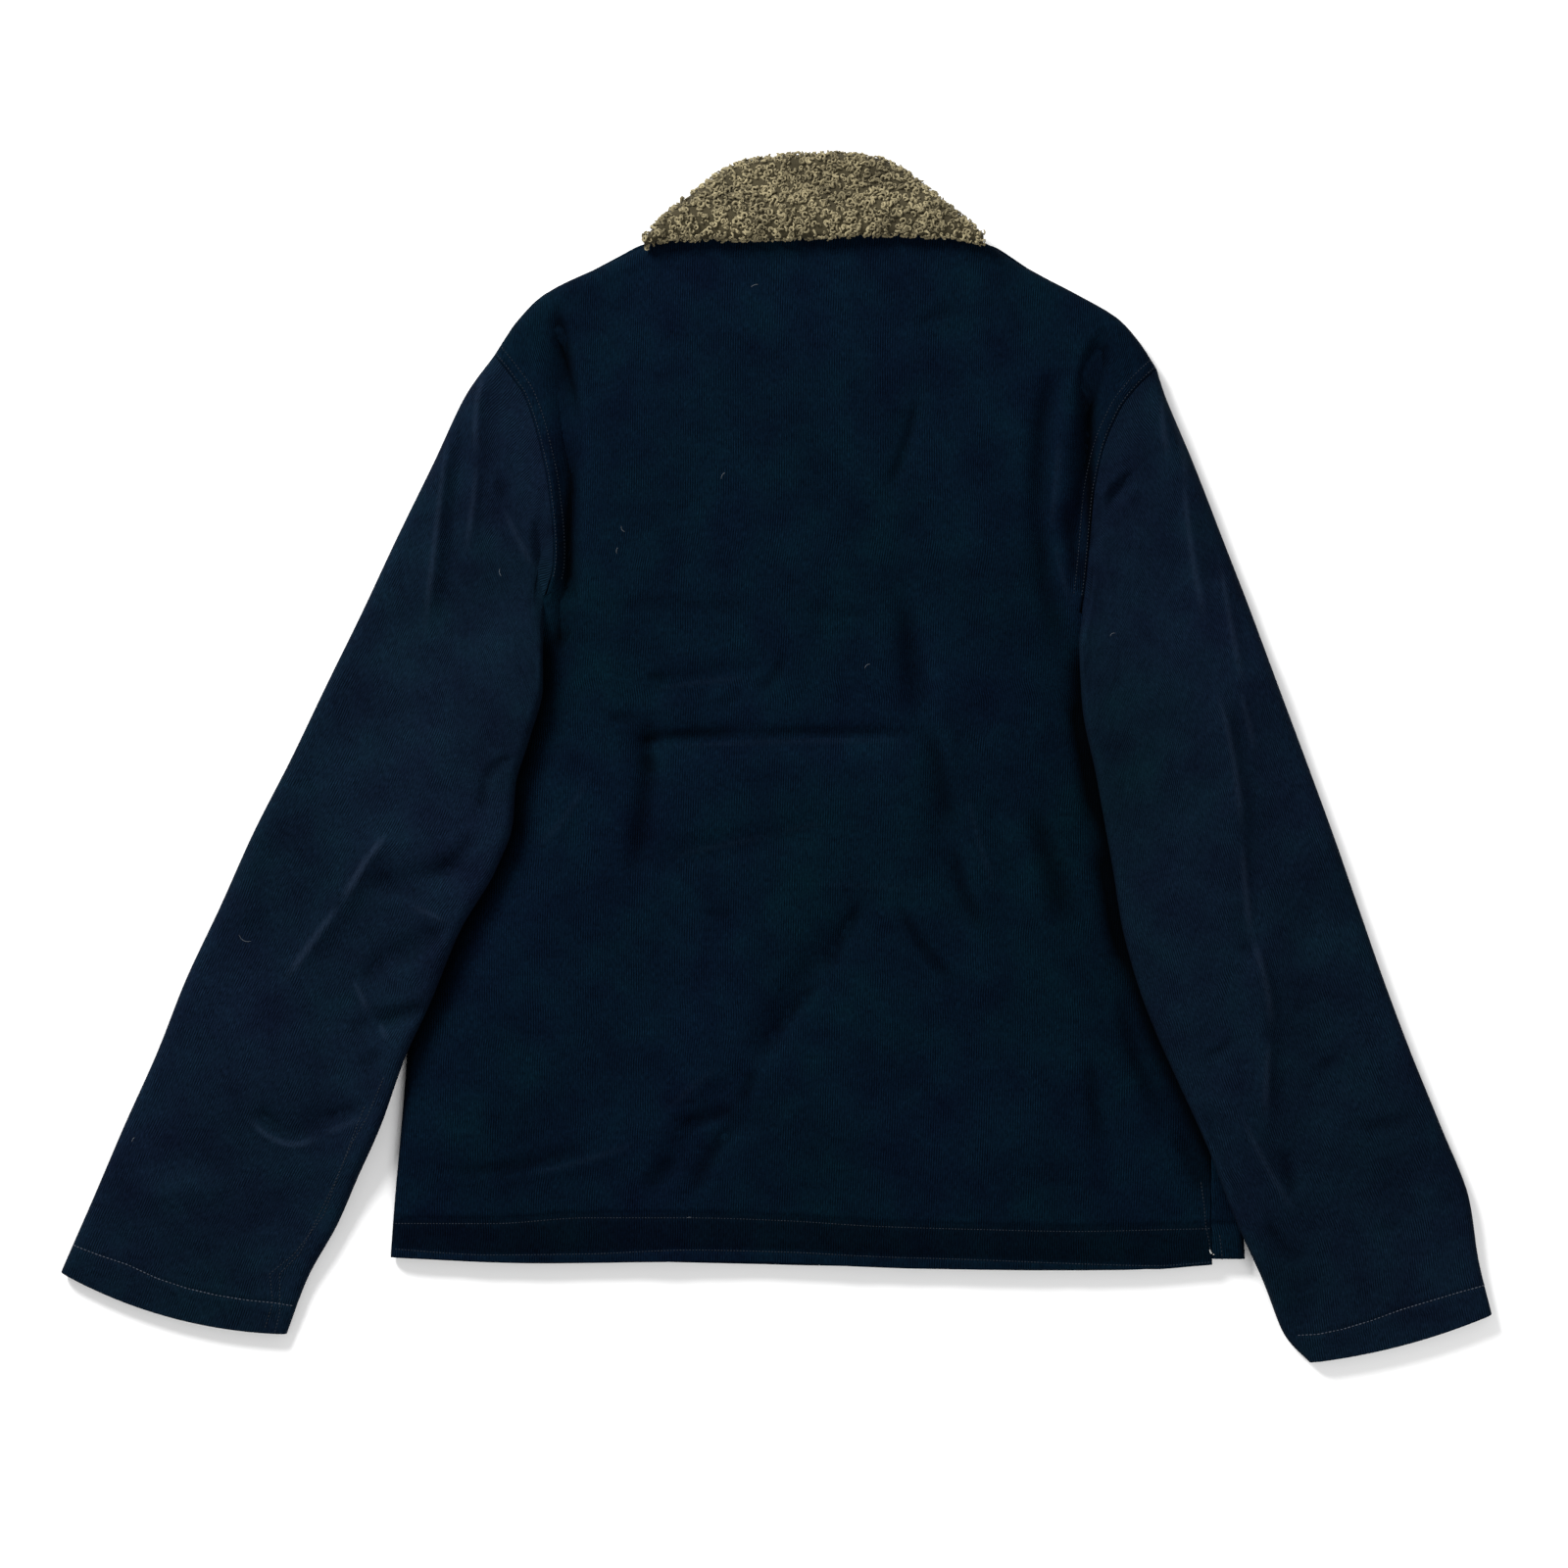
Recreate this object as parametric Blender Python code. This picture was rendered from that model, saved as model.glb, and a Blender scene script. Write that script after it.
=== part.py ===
"""Deck jacket laid flat on its front, back upward, collar towards +Y. Tables in millimetres, solids in metres."""
import math

import bpy
import numpy as np

MM = 0.001
WALL = 2.4
LINED_WALL = 9.0
SLEEVE_WALL = 5.0
PANEL_GAP = 2.0
CENTRE = (-0.5, -0.03)
CASING = 3.4
SEAM_GAP = 0.3
LAYER_GAP = 2.2
SHOULDER_ROLL = 10.0
UNDER_LAP = 6.0
PLACKET_X = (0.0, 56.0)
PLACKET_Y = (-333.0, 222.0)
CENTRE_FRONT = 28.0
COLLAR_LIFT = 8.8
LEAF_THICK = 8.5
COLLAR_DROOP = 13.4

CLOTH = (0.004, 0.009, 0.017)
PILE = (0.150, 0.130, 0.072)

# Armhole seam from shoulder tip to the fold of the sleeve: depth of its curve towards the body
ARMHOLE = (
    # share  left  right
    (0.00, 0.0, 0.0),
    (0.10, 8.0, 9.2),
    (0.20, 14.3, 15.2),
    (0.35, 17.0, 17.9),
    (0.50, 17.5, 16.0),
    (0.65, 15.8, 11.2),
    (0.80, 12.6, 5.8),
    (0.90, 8.5, 2.5),
    (1.00, 0.0, 0.0),
)
ARM_SHARES = (0.0, 0.012, 0.04, 0.09, 0.17, 0.27, 0.38, 0.50, 0.62, 0.73, 0.83, 0.91, 0.965, 1.0)

# Sleeve sections from armhole to cuff: outer and inner edge, bow of the section, thickness
SLEEVE_LEFT = (
    # outer x, y, inner x, y, bow, thick
    (-188, 267, -154, 108, 17.5, 18),
    (-206, 242, -155, 80, 12.0, 19),
    (-229, 194, -155, 47, 6.0, 18),
    (-253, 145, -164, 12, 2.0, 17),
    (-276, 96, -173, -18, 0.0, 16),
    (-300, 47, -175, -44, 0.0, 16),
    (-323, -1, -187, -76, 0.0, 16),
    (-348, -50, -210, -115, 0.0, 16),
    (-370, -99, -229, -161, 0.0, 16),
    (-393, -148, -246, -198, 0.0, 16),
    (-412, -196, -263, -245, -1.0, 15),
    (-434, -245, -278, -278, -2.0, 14),
    (-455, -294, -292, -310, -3.0, 12),
    (-469, -326, -312, -346, -7.0, 12),
    (-476, -342, -326, -383, -9.5, 10.4),
)
SLEEVE_RIGHT = (
    # outer x, y, inner x, y, bow, thick
    (252, 258, 202, 96, 17.5, 18),
    (257, 242, 200, 73, 12.0, 19),
    (277, 194, 202, 34, 6.0, 18),
    (296, 145, 211, -11, 2.0, 17),
    (315, 96, 218, -50, 0.0, 16),
    (333, 47, 223, -78, 0.0, 16),
    (351, -1, 228, -110, 0.0, 16),
    (369, -50, 240, -154, 0.0, 16),
    (386, -99, 252, -185, 0.0, 16),
    (403, -148, 266, -216, 0.0, 16),
    (421, -196, 285, -258, 0.0, 16),
    (441, -245, 303, -305, 0.0, 14),
    (460, -294, 323, -349, -1.0, 13),
    (466, -333, 338, -385, -3.0, 12),
    (475, -370, 354, -402, -4.5, 10.4),
)
# Hidden foot of each armhole, from the fold of the sleeve to the underarm
FOOT_LEFT = ((-154, 108), (-154.6, 84), (-155, 64), (-174, 51), (-200, 44), (-228, 38))
FOOT_RIGHT = ((202, 96), (200, 76), (201, 58), (222, 47), (255, 41), (285, 36))

# Body below the underarm
SIDE = (
    # y, left edge x, right seam x, right edge x
    (38, -228, 285, 298),
    (-20, -236, 287, 300),
    (-115, -242, 287, 302),
    (-200, -246, 287, 305),
    (-250, -250, 288, 307),
    (-294, -254, 288, 309),
    (-334, -257, 289, 311),
)
SIDE_STEPS = (0, -26, -56, -86, -116, -146, -176, -204, -230, -256, -278, -294, -304, -312, -321, -329, -334)

# Shoulder and neck line of the back and of the fronts, over the straight line from tip to tip
TOP_LINE = (
    # share across, back rise, front rise
    (0.000, 0, 0),
    (0.036, 24, 24),
    (0.075, 41, 41),
    (0.166, 61.5, 61.5),
    (0.240, 77, 77),
    (0.300, 86, 74),
    (0.400, 88, 48),
    (0.490, 88, 24),
    (0.600, 88, 52),
    (0.680, 87, 76),
    (0.745, 80, 80),
    (0.800, 66, 66),
    (0.882, 48, 48),
    (0.943, 32.5, 32.5),
    (0.975, 17, 17),
    (1.000, 0, 0),
)
# Hem edge under the straight line from side to side
HEM_LINE = (
    # share across, back drop, front drop
    (0.00, 0.0, 0.5),
    (0.17, 3.0, 4.0),
    (0.41, 1.0, 6.5),
    (0.65, 4.8, 8.0),
    (0.77, 5.2, 8.4),
    (0.89, 4.6, 6.0),
    (1.00, 0.0, 0.5),
)
# Height of the back over the floor, in the middle and under or beside the sleeves
HEIGHT = (
    # y, middle, side
    (352, 17.0, 17.0),
    (300, 19.0, 17.5),
    (250, 20.5, 18.0),
    (190, 21.0, 18.5),
    (130, 21.0, 18.0),
    (100, 21.0, 16.5),
    (60, 20.5, 13.2),
    (0, 20.0, 12.4),
    (-150, 19.5, 12.4),
    (-240, 17.5, 12.0),
    (-296, 13.0, 10.8),
    (-318, 11.8, 10.4),
    (-345, 10.9, 9.8),
)

# Largest folds of the back: start, bend and end of each, half width, height (trough below 0)
BACK_FOLDS = (
    # x0, y0, bend x, y, x1, y1, half width, height
    (-150, 300, -130, 200, -145, 75, 8, -8.0),
    (213, 285, 200, 190, 207, 130, 8, -8.0),
    (186, 262, 168, 170, 182, 84, 11, -4.5),
    (188, 226, 190, 180, 182, 140, 7, 3.0),
    (80, 138, 92, 40, 128, -122, 11, -5.0),
    (98, 62, 118, -50, 146, -140, 10, 3.6),
    (57, -96, 10, -160, -21, -208, 11, -5.0),
    (-21, -208, -50, -235, -84, -290, 10, -3.6),
    (-8, -240, -48, -246, -62, -292, 9, -3.0),
    (-107, 10, -50, 10, 104, 13, 10, -4.0),
    (-93, 44, -40, 50, 5, 63, 9, -2.6),
    (-88, -73, -20, -58, 42, -45, 10, -3.4),
    (-86, 34, -82, -30, -97, -85, 11, -3.0),
    (140, -18, 156, -60, 168, -100, 9, -2.6),
    (88, 235, 86, 200, 74, 172, 9, -2.4),
)
LEFT_FOLDS = (
    (-192, 262, -206, 190, -204, 130, 8, 4.0),
    (-218, 215, -226, 150, -234, 80, 8, 3.4),
    (-205, 225, -214, 170, -216, 100, 7, -3.4),
    (-256, -48, -288, -96, -314, -138, 10, 5.0),
    (-203, -70, -240, -86, -272, -83, 8, -4.2),
    (-222, -112, -250, -124, -276, -148, 8, -4.4),
    (-229, -168, -250, -174, -272, -180, 8, -3.2),
    (-350, -232, -325, -254, -275, -233, 9, -3.6),
    (-352, -60, -350, -90, -352, -116, 9, 2.6),
    (-424, -292, -392, -284, -360, -286, 10, 2.4),
)
RIGHT_FOLDS = (
    (290, 47, 305, -18, 310, -90, 8, 4.6),
    (313, -120, 325, -165, 323, -242, 8, 4.6),
    (256, 242, 262, 200, 268, 170, 8, 3.2),
    (271, 190, 280, 115, 288, 78, 8, 3.2),
    (294, 125, 300, 90, 304, 54, 8, 3.0),
    (284, -226, 308, -270, 352, -332, 8, -4.0),
    (306, -30, 318, -100, 312, -150, 9, -2.6),
    (362, -200, 372, -212, 382, -220, 9, -2.6),
    (336, -258, 342, -275, 346, -294, 9, -2.4),
    (420, -230, 428, -260, 440, -300, 10, 2.4),
)

# Collar seen from above: fold line and lower edge of the leaf
COLLAR = (
    # x, fold y, leaf edge y
    (-88, 345, 338),
    (-81, 352, 341),
    (-67, 366, 343.5),
    (-51, 379, 343),
    (-31, 393, 343),
    (-15, 398, 343),
    (31, 402, 344),
    (66, 399, 346),
    (83, 391, 346),
    (99, 379, 345),
    (112, 367, 345),
    (125, 356, 343),
    (133, 350, 341.5),
    (137, 347, 340),
)
# Hidden front halves of the collar, left one: fold line and leaf edge
COLLAR_FRONT = (
    # fold x, y, edge x, y
    (-76, 342, -96, 318),
    (-58, 344, -94, 296),
    (-34, 330, -78, 272),
    (-6, 308, -48, 252),
    (24, 288, 6, 238),
)


def column(table, index):
    return np.array([row[index] for row in table], float)


def smooth(t):
    t = np.clip(t, 0.0, 1.0)
    return t * t * (3.0 - 2.0 * t)


def roll(t):
    t = np.clip(t, 0.0, 1.0)
    return np.sqrt(1.0 - (1.0 - t) ** 2)


def along(keys, values, at):
    """Smooth curve through the rows of a table, without overshoot."""
    keys, values, at = np.asarray(keys, float), np.asarray(values, float), np.asarray(at, float)
    if keys[0] > keys[-1]:
        keys, values = keys[::-1], values[::-1]
    step = np.diff(keys)
    rise = np.diff(values) / step
    slope = np.zeros(len(keys))
    slope[0], slope[-1] = rise[0], rise[-1]
    same = rise[:-1] * rise[1:] > 0
    mean = 2.0 * rise[:-1] * rise[1:] / np.where(same, rise[:-1] + rise[1:], 1.0)
    slope[1:-1] = np.where(same, mean, 0.0)
    i = np.clip(np.searchsorted(keys, at) - 1, 0, len(step) - 1)
    t = np.clip((at - keys[i]) / step[i], 0.0, 1.0)
    h = step[i]
    return (
        (2 * t**3 - 3 * t**2 + 1) * values[i]
        + (t**3 - 2 * t**2 + t) * h * slope[i]
        + (3 * t**2 - 2 * t**3) * values[i + 1]
        + (t**3 - t**2) * h * slope[i + 1]
    )


def distance(points, line):
    """Distance of each point from a chain of straight pieces, and the share of the chain at the nearest place."""
    points, line = np.asarray(points, float), np.asarray(line, float)
    best = np.full(points.shape[:-1], 1e9)
    share = np.zeros(points.shape[:-1])
    lengths = np.linalg.norm(np.diff(line, axis=0), axis=1)
    before = np.concatenate([[0.0], np.cumsum(lengths)])
    for k, length in enumerate(lengths):
        way = (line[k + 1] - line[k]) / length
        t = np.clip((points - line[k]) @ way, 0.0, length)
        gap = np.linalg.norm(points - (line[k] + t[..., None] * way), axis=-1)
        near = gap < best
        best = np.where(near, gap, best)
        share = np.where(near, (before[k] + t) / before[-1], share)
    return best, share


def folds(table, x, y):
    """Soft troughs and ridges of a table, added up at each point."""
    total = np.zeros(np.shape(x))
    points = np.stack([x, y], axis=-1)
    for x0, y0, xb, yb, x1, y1, half, height in table:
        t = np.linspace(0.0, 1.0, 7)[:, None]
        line = (1 - t) ** 2 * [x0, y0] + 2 * t * (1 - t) * [xb, yb] + t**2 * [x1, y1]
        gap, share = distance(points, line)
        ends = smooth(share / 0.2) * smooth((1.0 - share) / 0.25)
        total += height * np.exp(-((gap / half) ** 2)) * (0.15 + 0.85 * ends)
    return total


def armhole(side, share):
    """Point on the armhole seam, and the direction from it into the body."""
    rows = SLEEVE_LEFT if side < 0 else SLEEVE_RIGHT
    tip, foot = np.array(rows[0][:2], float), np.array(rows[0][2:4], float)
    way = foot - tip
    way /= np.linalg.norm(way)
    inward = np.array([-way[1], way[0]]) * -side
    depth = along(column(ARMHOLE, 0), column(ARMHOLE, 1 if side < 0 else 2), share)
    return tip + (foot - tip) * share + inward * depth, inward


def body_rows():
    """Left and right end of each row of the body, from shoulders to hem, with the share of the way down."""
    rows = []
    for share in ARM_SHARES:
        (left, _), (right, _) = armhole(-1, share), armhole(1, share)
        rows.append(("arm", share, left, right))
    for k in range(1, len(FOOT_LEFT)):
        rows.append(("foot", k / (len(FOOT_LEFT) - 1), np.array(FOOT_LEFT[k], float), np.array(FOOT_RIGHT[k], float)))
    for y in SIDE_STEPS:
        left = along(column(SIDE, 0), column(SIDE, 1), y)
        right = along(column(SIDE, 0), column(SIDE, 2), y)
        rows.append(("side", y, np.array([left, y + 2.0]), np.array([right, y - 2.0])))
    return rows


def edge_line(side):
    """The line that the sleeve, the armhole or the body edge draws on the back, as (y, x) rows."""
    sleeve = SLEEVE_LEFT if side < 0 else SLEEVE_RIGHT
    seam = [armhole(side, s)[0] for s in (0.0, 0.2, 0.4, 0.6, 0.8)]
    inner = [np.array(row[2:4], float) for row in sleeve]
    edge = [np.array([row[1 if side < 0 else 3], row[0]], float) for row in SIDE]
    leave = -199 if side < 0 else -323
    inner = [p for p in inner if p[1] > leave]
    points = seam + inner + [p for p in edge if p[1] <= leave]
    points.sort(key=lambda p: -p[1])
    return np.array([p[1] for p in points]), np.array([p[0] for p in points])


LINE_LEFT, LINE_RIGHT = edge_line(-1), edge_line(1)


def body_top(x, y):
    """Height of the back's outer face, before the edges roll down."""
    middle = along(column(HEIGHT, 0), column(HEIGHT, 1), y)
    side = along(column(HEIGHT, 0), column(HEIGHT, 2), y)
    left = np.interp(-y, -LINE_LEFT[0], LINE_LEFT[1])
    right = np.interp(-y, -LINE_RIGHT[0], LINE_RIGHT[1])
    reach = np.minimum(smooth((x - left + 6.0) / 56.0), smooth((right - x + 6.0) / 56.0))
    return side + (middle - side) * reach


def grid_solid(name, outer, inner, colour, closed=False):
    """Closed solid between two grids of points; closed grids run round as a tube."""
    centre = np.array([*CENTRE, 0.0])
    outer, inner = (np.asarray(outer) - centre) * MM, (np.asarray(inner) - centre) * MM
    rows, cols = outer.shape[:2]
    points = np.concatenate([outer.reshape(-1, 3), inner.reshape(-1, 3)])
    half = rows * cols
    faces = []
    last = cols if closed else cols - 1
    for i in range(rows - 1):
        for j in range(last):
            k = (j + 1) % cols
            a, b, c, d = i * cols + j, i * cols + k, (i + 1) * cols + k, (i + 1) * cols + j
            faces.append((a, d, c, b))
            faces.append((half + a, half + b, half + c, half + d))
    for j in range(last):
        k = (j + 1) % cols
        faces.append((j, k, half + k, half + j))
        base = (rows - 1) * cols
        faces.append((base + k, base + j, half + base + j, half + base + k))
    if not closed:
        for i in range(rows - 1):
            a, d = i * cols, (i + 1) * cols
            faces.append((d, a, half + a, half + d))
            a, d = i * cols + cols - 1, (i + 1) * cols + cols - 1
            faces.append((a, d, half + d, half + a))
    return solid(name, points, faces, colour)


def solid(name, points, faces, colour):
    mesh = bpy.data.meshes.new(name)
    mesh.from_pydata([tuple(p) for p in points], [], faces)
    mesh.update()
    a, b, c = [], [], []
    mesh.calc_loop_triangles()
    for tri in mesh.loop_triangles:
        a.append(points[tri.vertices[0]])
        b.append(points[tri.vertices[1]])
        c.append(points[tri.vertices[2]])
    if np.einsum("ij,ij->i", np.array(a), np.cross(np.array(b), np.array(c))).sum() < 0:
        mesh.flip_normals()
    material = bpy.data.materials.new(name)
    material.use_nodes = True
    shader = material.node_tree.nodes["Principled BSDF"]
    shader.inputs["Base Color"].default_value = (*colour, 1.0)
    shader.inputs["Roughness"].default_value = 0.9
    mesh.materials.append(material)
    made = bpy.data.objects.new(name, mesh)
    bpy.context.scene.collection.objects.link(made)
    return made


def shoulder_line():
    (left, _), (right, _) = armhole(-1, 0.0), armhole(1, 0.0)
    share = np.linspace(0.0, 1.0, 41)
    rise = along(column(TOP_LINE, 0), column(TOP_LINE, 1), share)
    return left + (right - left) * share[:, None] + np.stack([0 * share, rise], axis=1)


SHOULDERS = shoulder_line()
ARM_LINES = {s: np.array([armhole(s, t)[0] for t in np.linspace(0, 1, 12)]) for s in (-1, 1)}


def neck_part(x):
    """1 along the shoulder seams, 0 along the neck."""
    return 1.0 - smooth((x + 92.0) / 16.0) * smooth((150.0 - x) / 16.0)


def row_xy(row, share, column_of_line):
    """Point of a body row at a share of its width."""
    kind, at, left, right = row
    point = left + (right - left) * share
    if kind == "arm":
        fade = 1.0 - 0.72 * at
    elif kind == "foot":
        fade = 0.28 * (1.0 - at)
    else:
        fade = 0.0
    point[1] += fade * along(column(TOP_LINE, 0), column(TOP_LINE, column_of_line), share)
    if kind == "side":
        hem = smooth((-230.0 - at) / 104.0)
        point[1] -= hem * along(column(HEM_LINE, 0), column(HEM_LINE, column_of_line), share)
    return point


def thickness(y):
    return WALL + (CASING - WALL) * smooth((-300.0 - y) / 8.0)


TIPS = (SHOULDERS[0], SHOULDERS[-1])


def pull_in(x, y, amount):
    """Step from the shoulder line into the body, sideways at the shoulder tips."""
    left, right = (float(np.linalg.norm(np.array([x, y]) - tip)) for tip in TIPS)
    side = 1.0 if left < right else -1.0
    tip = 1.0 - float(smooth(min(left, right) / 25.0))
    return amount * side * tip, -amount * (1.0 - tip)


def back_point(x, y):
    """Outer height of the back at a place, with folds, shoulder roll and hem channel."""
    top = body_top(x, y)
    place = np.array([x, y])
    shore = min(float(distance(place, ARM_LINES[s])[0]) for s in (-1, 1))
    calm = smooth(shore / 7.0) * smooth((330.0 - y) / 30.0) * smooth((y + 306.0) / 16.0)
    top += float(folds(BACK_FOLDS, np.array(x), np.array(y))) * calm
    top += 0.9 * smooth((-306.0 - y) / 6.0) * smooth((y + 330.0) / 6.0)
    gap = float(distance(place, SHOULDERS)[0])
    mask = neck_part(x)
    return top * (1.0 - 0.5 * mask * (1.0 - roll(gap / SHOULDER_ROLL))), gap, mask


def build_back():
    outer, inner = [], []
    middle = np.concatenate([[0.0, 0.03, 0.07], np.linspace(0.12, 0.86, 19), [0.90, 0.935, 0.96, 0.98, 0.99, 1.0]])
    for row in body_rows():
        kind, at, left, right = row
        left, right = left.copy(), right.copy()
        turn = {"arm": 0.0, "foot": smooth((at - 0.3) / 0.7), "side": 1.0}[kind]
        if kind == "arm":
            slack = SEAM_GAP / 2 + 0.9 * float(smooth((at - 0.90) / 0.06))
            left += armhole(-1, at)[1] * slack
            right += armhole(1, at)[1] * slack
        elif kind == "foot":
            left[0] += SEAM_GAP * 2.5 * (1 - turn)
            right[0] -= SEAM_GAP * 2.5
        else:
            right[0] -= SEAM_GAP / 2
        row = (kind, at, left, right)
        width = right[0] - left[0]
        height = float(body_top(left[0] + 7.0, left[1]))
        radius = height / 2.0
        wrap = math.pi * radius * turn
        lap = UNDER_LAP * turn
        flat = np.array([0.0, 3.0, 6.5, 10.0, 14.0, 19.0, 25.0])
        bent = np.array([0.0, lap, lap + wrap * 0.25, lap + wrap * 0.5, lap + wrap * 0.75, lap + wrap, lap + wrap + 9.0])
        starts = flat * (1.0 - turn) + bent * turn
        ends = 1.0 - math.sin(min(turn * math.pi, math.pi / 2))
        line_out, line_in = [], []
        for a in starts:
            if a >= lap + wrap - 1e-9:
                break
            if a < lap:
                d = radius * (1.0 - math.sin(turn * math.pi)) + (lap - a) * abs(math.cos(turn * math.pi))
                z = radius * (1.0 + math.cos(turn * math.pi))
                n = (math.sin(turn * math.pi), math.cos(turn * math.pi))
            else:
                angle = turn * math.pi * (1.0 - (a - lap) / wrap)
                d = radius * (1.0 - math.sin(angle))
                z = radius * (1.0 + math.cos(angle))
                n = (math.sin(angle), math.cos(angle))
            d -= radius * ends
            point = row_xy(row, d / width, 1)
            line_out.append((point[0], point[1], z))
            wall = thickness(point[1])
            line_in.append((point[0] + wall * n[0], point[1], z - wall * n[1]))
        begin = [float(a) for a in starts[len(line_out):]]
        begin = [radius * (1.0 - ends) + (a - lap - wrap) for a in begin]
        rest = [begin[-1] + (width - begin[-1]) * m for m in middle[1:]]
        for d in begin + rest:
            point = row_xy(row, d / width, 1)
            z, gap, mask = back_point(point[0], point[1])
            up = 1.2 * SEAM_GAP + 1.1 * float(front_lift(point[0], point[1])) / COLLAR_LIFT
            line_out.append((point[0], point[1], z + up * mask * (gap < 1)))
            wall = back_wall(point[0], point[1], z)
            pull = mask * wall * max(0.0, 1.0 - gap / SHOULDER_ROLL)
            low = z - wall * (1.0 - mask * (1.0 - roll(gap / SHOULDER_ROLL)))
            step = pull_in(point[0], point[1], pull)
            line_in.append((point[0] + step[0], point[1] + step[1], low + up * mask * (gap < 1)))
        outer.append(line_out)
        inner.append(line_in)
    return grid_solid("back", outer, inner, CLOTH)


def inland(x, y):
    """0 at the seams and edges of the body, 1 well inside it."""
    place = np.array([x, y])
    shore = min(float(distance(place, line)[0]) for line in (*ARM_LINES.values(), SHOULDERS, *EDGES.values()))
    shore = min(shore, y + 292.0, x + 226.0, 268.0 - x)
    return float(smooth((shore - 5.0) / 30.0))


def front_wall(x, y):
    """Thickness of a lined front: half of the height between floor and back, less at the seams."""
    half = (float(body_top(x, y)) - float(front_lift(x, y)) - PANEL_GAP) / 2.0
    thin = thickness(y)
    return thin + (min(max(half, WALL), LINED_WALL) - thin) * inland(x, y)


def back_wall(x, y, top):
    """Thickness of the lined back, down to just over the fronts."""
    thin = thickness(y)
    room = top - float(front_lift(x, y)) - front_wall(x, y) - PANEL_GAP
    return max(thin, thin + (min(max(room, WALL), LINED_WALL) - thin) * inland(x, y))


def front_lift(x, y):
    """Height of a front's outer face over the floor: over the strip of the placket and over the collar."""
    strip = smooth((x - PLACKET_X[0] + 9.0) / 6.0) * smooth((PLACKET_X[1] + 9.0 - x) / 6.0)
    strip *= smooth((PLACKET_Y[1] + 30.0 - y) / 12.0)
    neck = smooth((y - 200.0) / 30.0) * smooth((x + 152.0) / 34.0) * smooth((208.0 - x) / 34.0)
    return np.maximum(2.9 * strip, COLLAR_LIFT * neck)


def front_point(x, y, wall):
    gap = float(distance(np.array([x, y]), SHOULDERS)[0])
    mask = neck_part(x)
    half = float(body_top(x, y)) / 2.0
    fall = mask * (1.0 - roll(gap / SHOULDER_ROLL))
    z = float(front_lift(x, y)) * (1.0 - fall) + (half - 3.6 * SEAM_GAP) * fall
    pull = mask * wall * max(0.0, 1.0 - gap / SHOULDER_ROLL)
    return z, z + wall * (1.0 - fall), np.array([*pull_in(x, y, pull), 0.0])


def build_front(name, side):
    """Front from the centre to the side; the right one comes round the edge to the seam on top."""
    outer, inner = [], []
    rows = body_rows()
    keep = [row for n, row in enumerate(rows) if side > 0 or row[0] != "side" or n % 2 == 0 or row[1] < -290]
    spread = np.array([0, 0.16, 0.34, 0.52, 0.70, 0.84, 0.93, 0.98, 1.0])
    for kind, at, left, right in keep:
        row = (kind, at, left, right)
        width = right[0] - left[0]
        centre = CENTRE_FRONT + side * SEAM_GAP / 2
        if side < 0:
            if kind == "arm":
                edge = (left + armhole(-1, at)[1] * SEAM_GAP / 2)[0] + 0.6 * float(smooth((at - 0.9) / 0.06))
            else:
                under = float(body_top(left[0] + 7.0, left[1])) / 2.0 + UNDER_LAP + SEAM_GAP
                edge = left[0] + SEAM_GAP * 1.5 + under * (smooth((at - 0.3) / 0.7) if kind == "foot" else 1.0)
        elif kind == "arm":
            edge = (right + armhole(1, at)[1] * SEAM_GAP / 2)[0]
        elif kind == "foot":
            edge = right[0] - SEAM_GAP * 1.5
        else:
            edge = float(along(column(SIDE, 0), column(SIDE, 3), right[1]))
        radius = float(body_top(right[0] + 4.0, right[1])) / 2.0
        turn = {"arm": 0.0, "foot": 0.0 if at < 1.0 else 0.4, "side": 1.0}[kind]
        stop = edge if side < 0 else edge - radius
        line_out, line_in = [], []
        strip = PLACKET_X[0] if side < 0 else PLACKET_X[1]
        near = strip + side * 9.5
        for x in [centre, strip - side * 12.0, strip + side * 3.0, *(near + (stop - near) * spread)]:
            point = row_xy(row, (x - left[0]) / width, 2)
            low, high, pull = front_point(x, point[1], front_wall(x, point[1]))
            line_out.append(np.array([x, point[1], low]))
            line_in.append(np.array([x, point[1], high]) + pull)
        if side > 0:
            seam = right[0] + SEAM_GAP / 2
            for k in range(1, 8):
                x = stop + radius * k / 7.0
                y = row_xy(row, (x - left[0]) / width, 2)[1]
                wall = thickness(y)
                low, high, pull = front_point(x, y, wall)
                flat_out, flat_in = np.array([x, y, low]), np.array([x, y, high]) + pull
                if k < 6:
                    angle = math.pi * (1.0 - k / 5.0)
                    reach = radius * math.sin(angle)
                    bent_out = np.array([stop + reach, y, radius * (1.0 + math.cos(angle))])
                    bent_in = bent_out - wall * np.array([math.sin(angle), 0.0, math.cos(angle)])
                else:
                    x = stop + (seam - stop) * (k - 5) / 2.0
                    top = float(body_top(x, y)) + 0.9 * float(smooth((-306.0 - y) / 6.0) * smooth((y + 330.0) / 6.0)) * (k - 5) / 2.0
                    bent_out, bent_in = np.array([x, y, top]), np.array([x, y, top - wall])
                line_out.append(flat_out + (bent_out - flat_out) * turn)
                line_in.append(flat_in + (bent_in - flat_in) * turn)
        outer.append(line_out)
        inner.append(line_in)
    return grid_solid(name, outer, inner, CLOTH)


def hidden_edge(side):
    """Outline of the body where a sleeve lies over it."""
    foot = FOOT_LEFT[2:] if side < 0 else FOOT_RIGHT[2:] + ((298, 34),)
    edge = [(row[1 if side < 0 else 3], row[0]) for row in SIDE if row[0] < 30]
    return np.array(list(foot) + edge, float)


EDGES = {-1: hidden_edge(-1), 1: hidden_edge(1)}


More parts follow.
